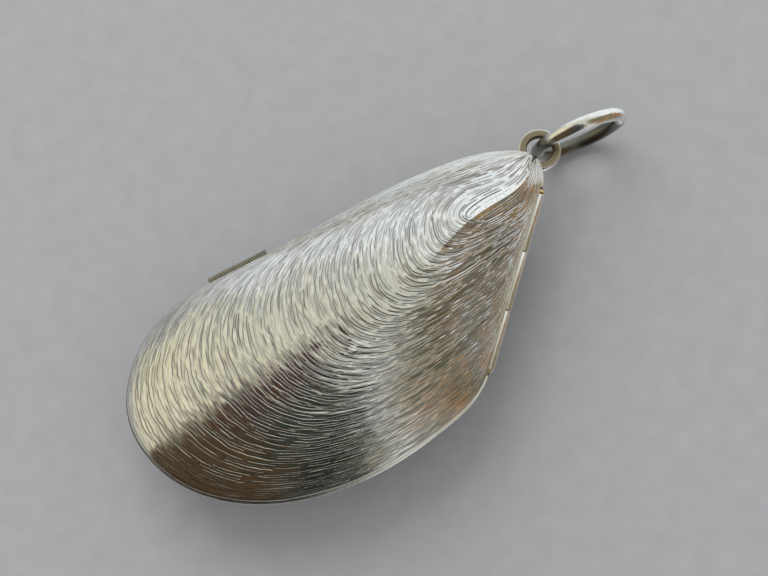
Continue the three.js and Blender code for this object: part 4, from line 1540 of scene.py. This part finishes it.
# %% The room around the silver
world = bpy.data.worlds.new("room")
bpy.context.scene.world = world
world.use_nodes = True
nodes = Nodes(world.node_tree)
background = world.node_tree.nodes["Background"]
way = nodes.add("ShaderNodeTexCoord").outputs["Generated"]
east, north, height = nodes.axes(way)
ripple = nodes.noise(way, RIPPLE_SCALE, RIPPLE_DETAIL)
uneven = nodes.math("MULTIPLY_ADD", ripple, RIPPLE_REACH, -RIPPLE_REACH / 2)
patches = nodes.noise(way, PATCH_SCALE, PATCH_DETAIL)


def toward(mask):
    """A soft mask over the sky, made uneven by the ripple."""
    east_share, north_share, start, end = mask
    place = nodes.math("MULTIPLY_ADD", east, east_share, uneven)
    place = nodes.math("MULTIPLY_ADD", north, north_share, place)
    return nodes.spread(place, start, end)


def both(first, second):
    """Where two masks meet."""
    return nodes.math("MULTIPLY", first, second)


sky = nodes.mix(toward(GREY_EAST), CREAM_WALL, GREY_WALL)
sky = nodes.mix(both(toward(OLIVE_EAST), toward(OLIVE_SOUTH)), sky, OLIVE)
wood = both(toward(WOOD_EAST), toward(WOOD_SOUTH))
sky = nodes.mix(both(wood, nodes.spread(patches, *WOOD_PATCHES)), sky, WARM_WOOD)
northern = nodes.math("SUBTRACT", 1.0, toward(SOUTHERN))
sky = nodes.mix(both(nodes.spread(height, *LOW_SKY), northern), sky, HORIZON)
sky = nodes.mix(both(toward(WINDOW_EAST), northern), sky, WINDOW_WHITE)

deep = nodes.mix(nodes.spread(patches, *SLATE_PATCHES), GREEN_DARK, SLATE)
shade = nodes.mix(toward(SHADE_SOUTH), MAROON, deep)
shade = nodes.mix(toward(BROWN_WEST), shade, BROWN_DARK)
sky = nodes.mix(both(toward(DARK_WEST), toward(DARK_SOUTH)), sky, shade)
sky = nodes.mix(nodes.spread(height, *UNDER_FLOOR), sky, HORIZON)

strip = nodes.math("SUBTRACT", toward(STRIP_START), toward(STRIP_END))
sky = nodes.mix(both(strip, toward(STRIP_SOUTH)), sky, WINDOW_WHITE)
matt = nodes.add("ShaderNodeLightPath").outputs["Is Diffuse Ray"]
sky = nodes.mix(matt, sky, EVEN_LIGHT)
nodes.tree.links.new(sky, background.inputs["Color"])
background.inputs["Strength"].default_value = 1.0
print("the room is made of", len(nodes.tree.nodes), "nodes")


# %% The lamp
def soft_lamp(name, place, target, size, power):
    """A square soft light that faces a target. The silver shows the room and not the lamp."""
    data = bpy.data.lights.new(name, "AREA")
    data.shape = "SQUARE"
    data.size = size
    data.energy = power
    lamp = bpy.data.objects.new(name, data)
    bpy.context.scene.collection.objects.link(lamp)
    lamp.location = place
    aim = Vector(target) - Vector(place)
    lamp.rotation_euler = aim.to_track_quat("-Z", "Y").to_euler()
    lamp.visible_glossy = False


LAMP_PLACE = (0.1, 0.5, 0.5)
LAMP_TARGET = (0, 0, 0.005)
LAMP_SIZE = 0.6
LAMP_POWER = 3.2
soft_lamp("window", LAMP_PLACE, LAMP_TARGET, LAMP_SIZE, LAMP_POWER)

# %% [markdown]
# ## The camera
# The camera stands almost straight above, 170 mm away, turned so that the shell lies from the
# lower left to the upper right, as in the photograph.

# %% The camera
CAMERA_AZIMUTH = -37.68
CAMERA_ELEVATION = 74.0
CAMERA_DISTANCE = 170 * MM
CAMERA_TARGET = Vector((2.872, 1.825, 6.4)) * MM
CAMERA_LENS = 89.25
NEAREST_SEEN, FARTHEST_SEEN = 0.01, 10.0
camera_data = bpy.data.cameras.new("camera")
camera_data.lens = CAMERA_LENS
camera_data.clip_start = NEAREST_SEEN
camera_data.clip_end = FARTHEST_SEEN
camera = bpy.data.objects.new("camera", camera_data)
bpy.context.scene.collection.objects.link(camera)
azimuth, elevation = math.radians(CAMERA_AZIMUTH), math.radians(CAMERA_ELEVATION)
back = Vector((
    math.sin(azimuth) * math.cos(elevation),
    -math.cos(azimuth) * math.cos(elevation),
    math.sin(elevation),
))
camera.location = CAMERA_TARGET + back * CAMERA_DISTANCE
camera.rotation_euler = (-back).to_track_quat("-Z", "Y").to_euler()
bpy.context.scene.camera = camera
bpy.context.scene.view_settings.view_transform = "Standard"
print("camera at", [round(value, 3) for value in camera.location])
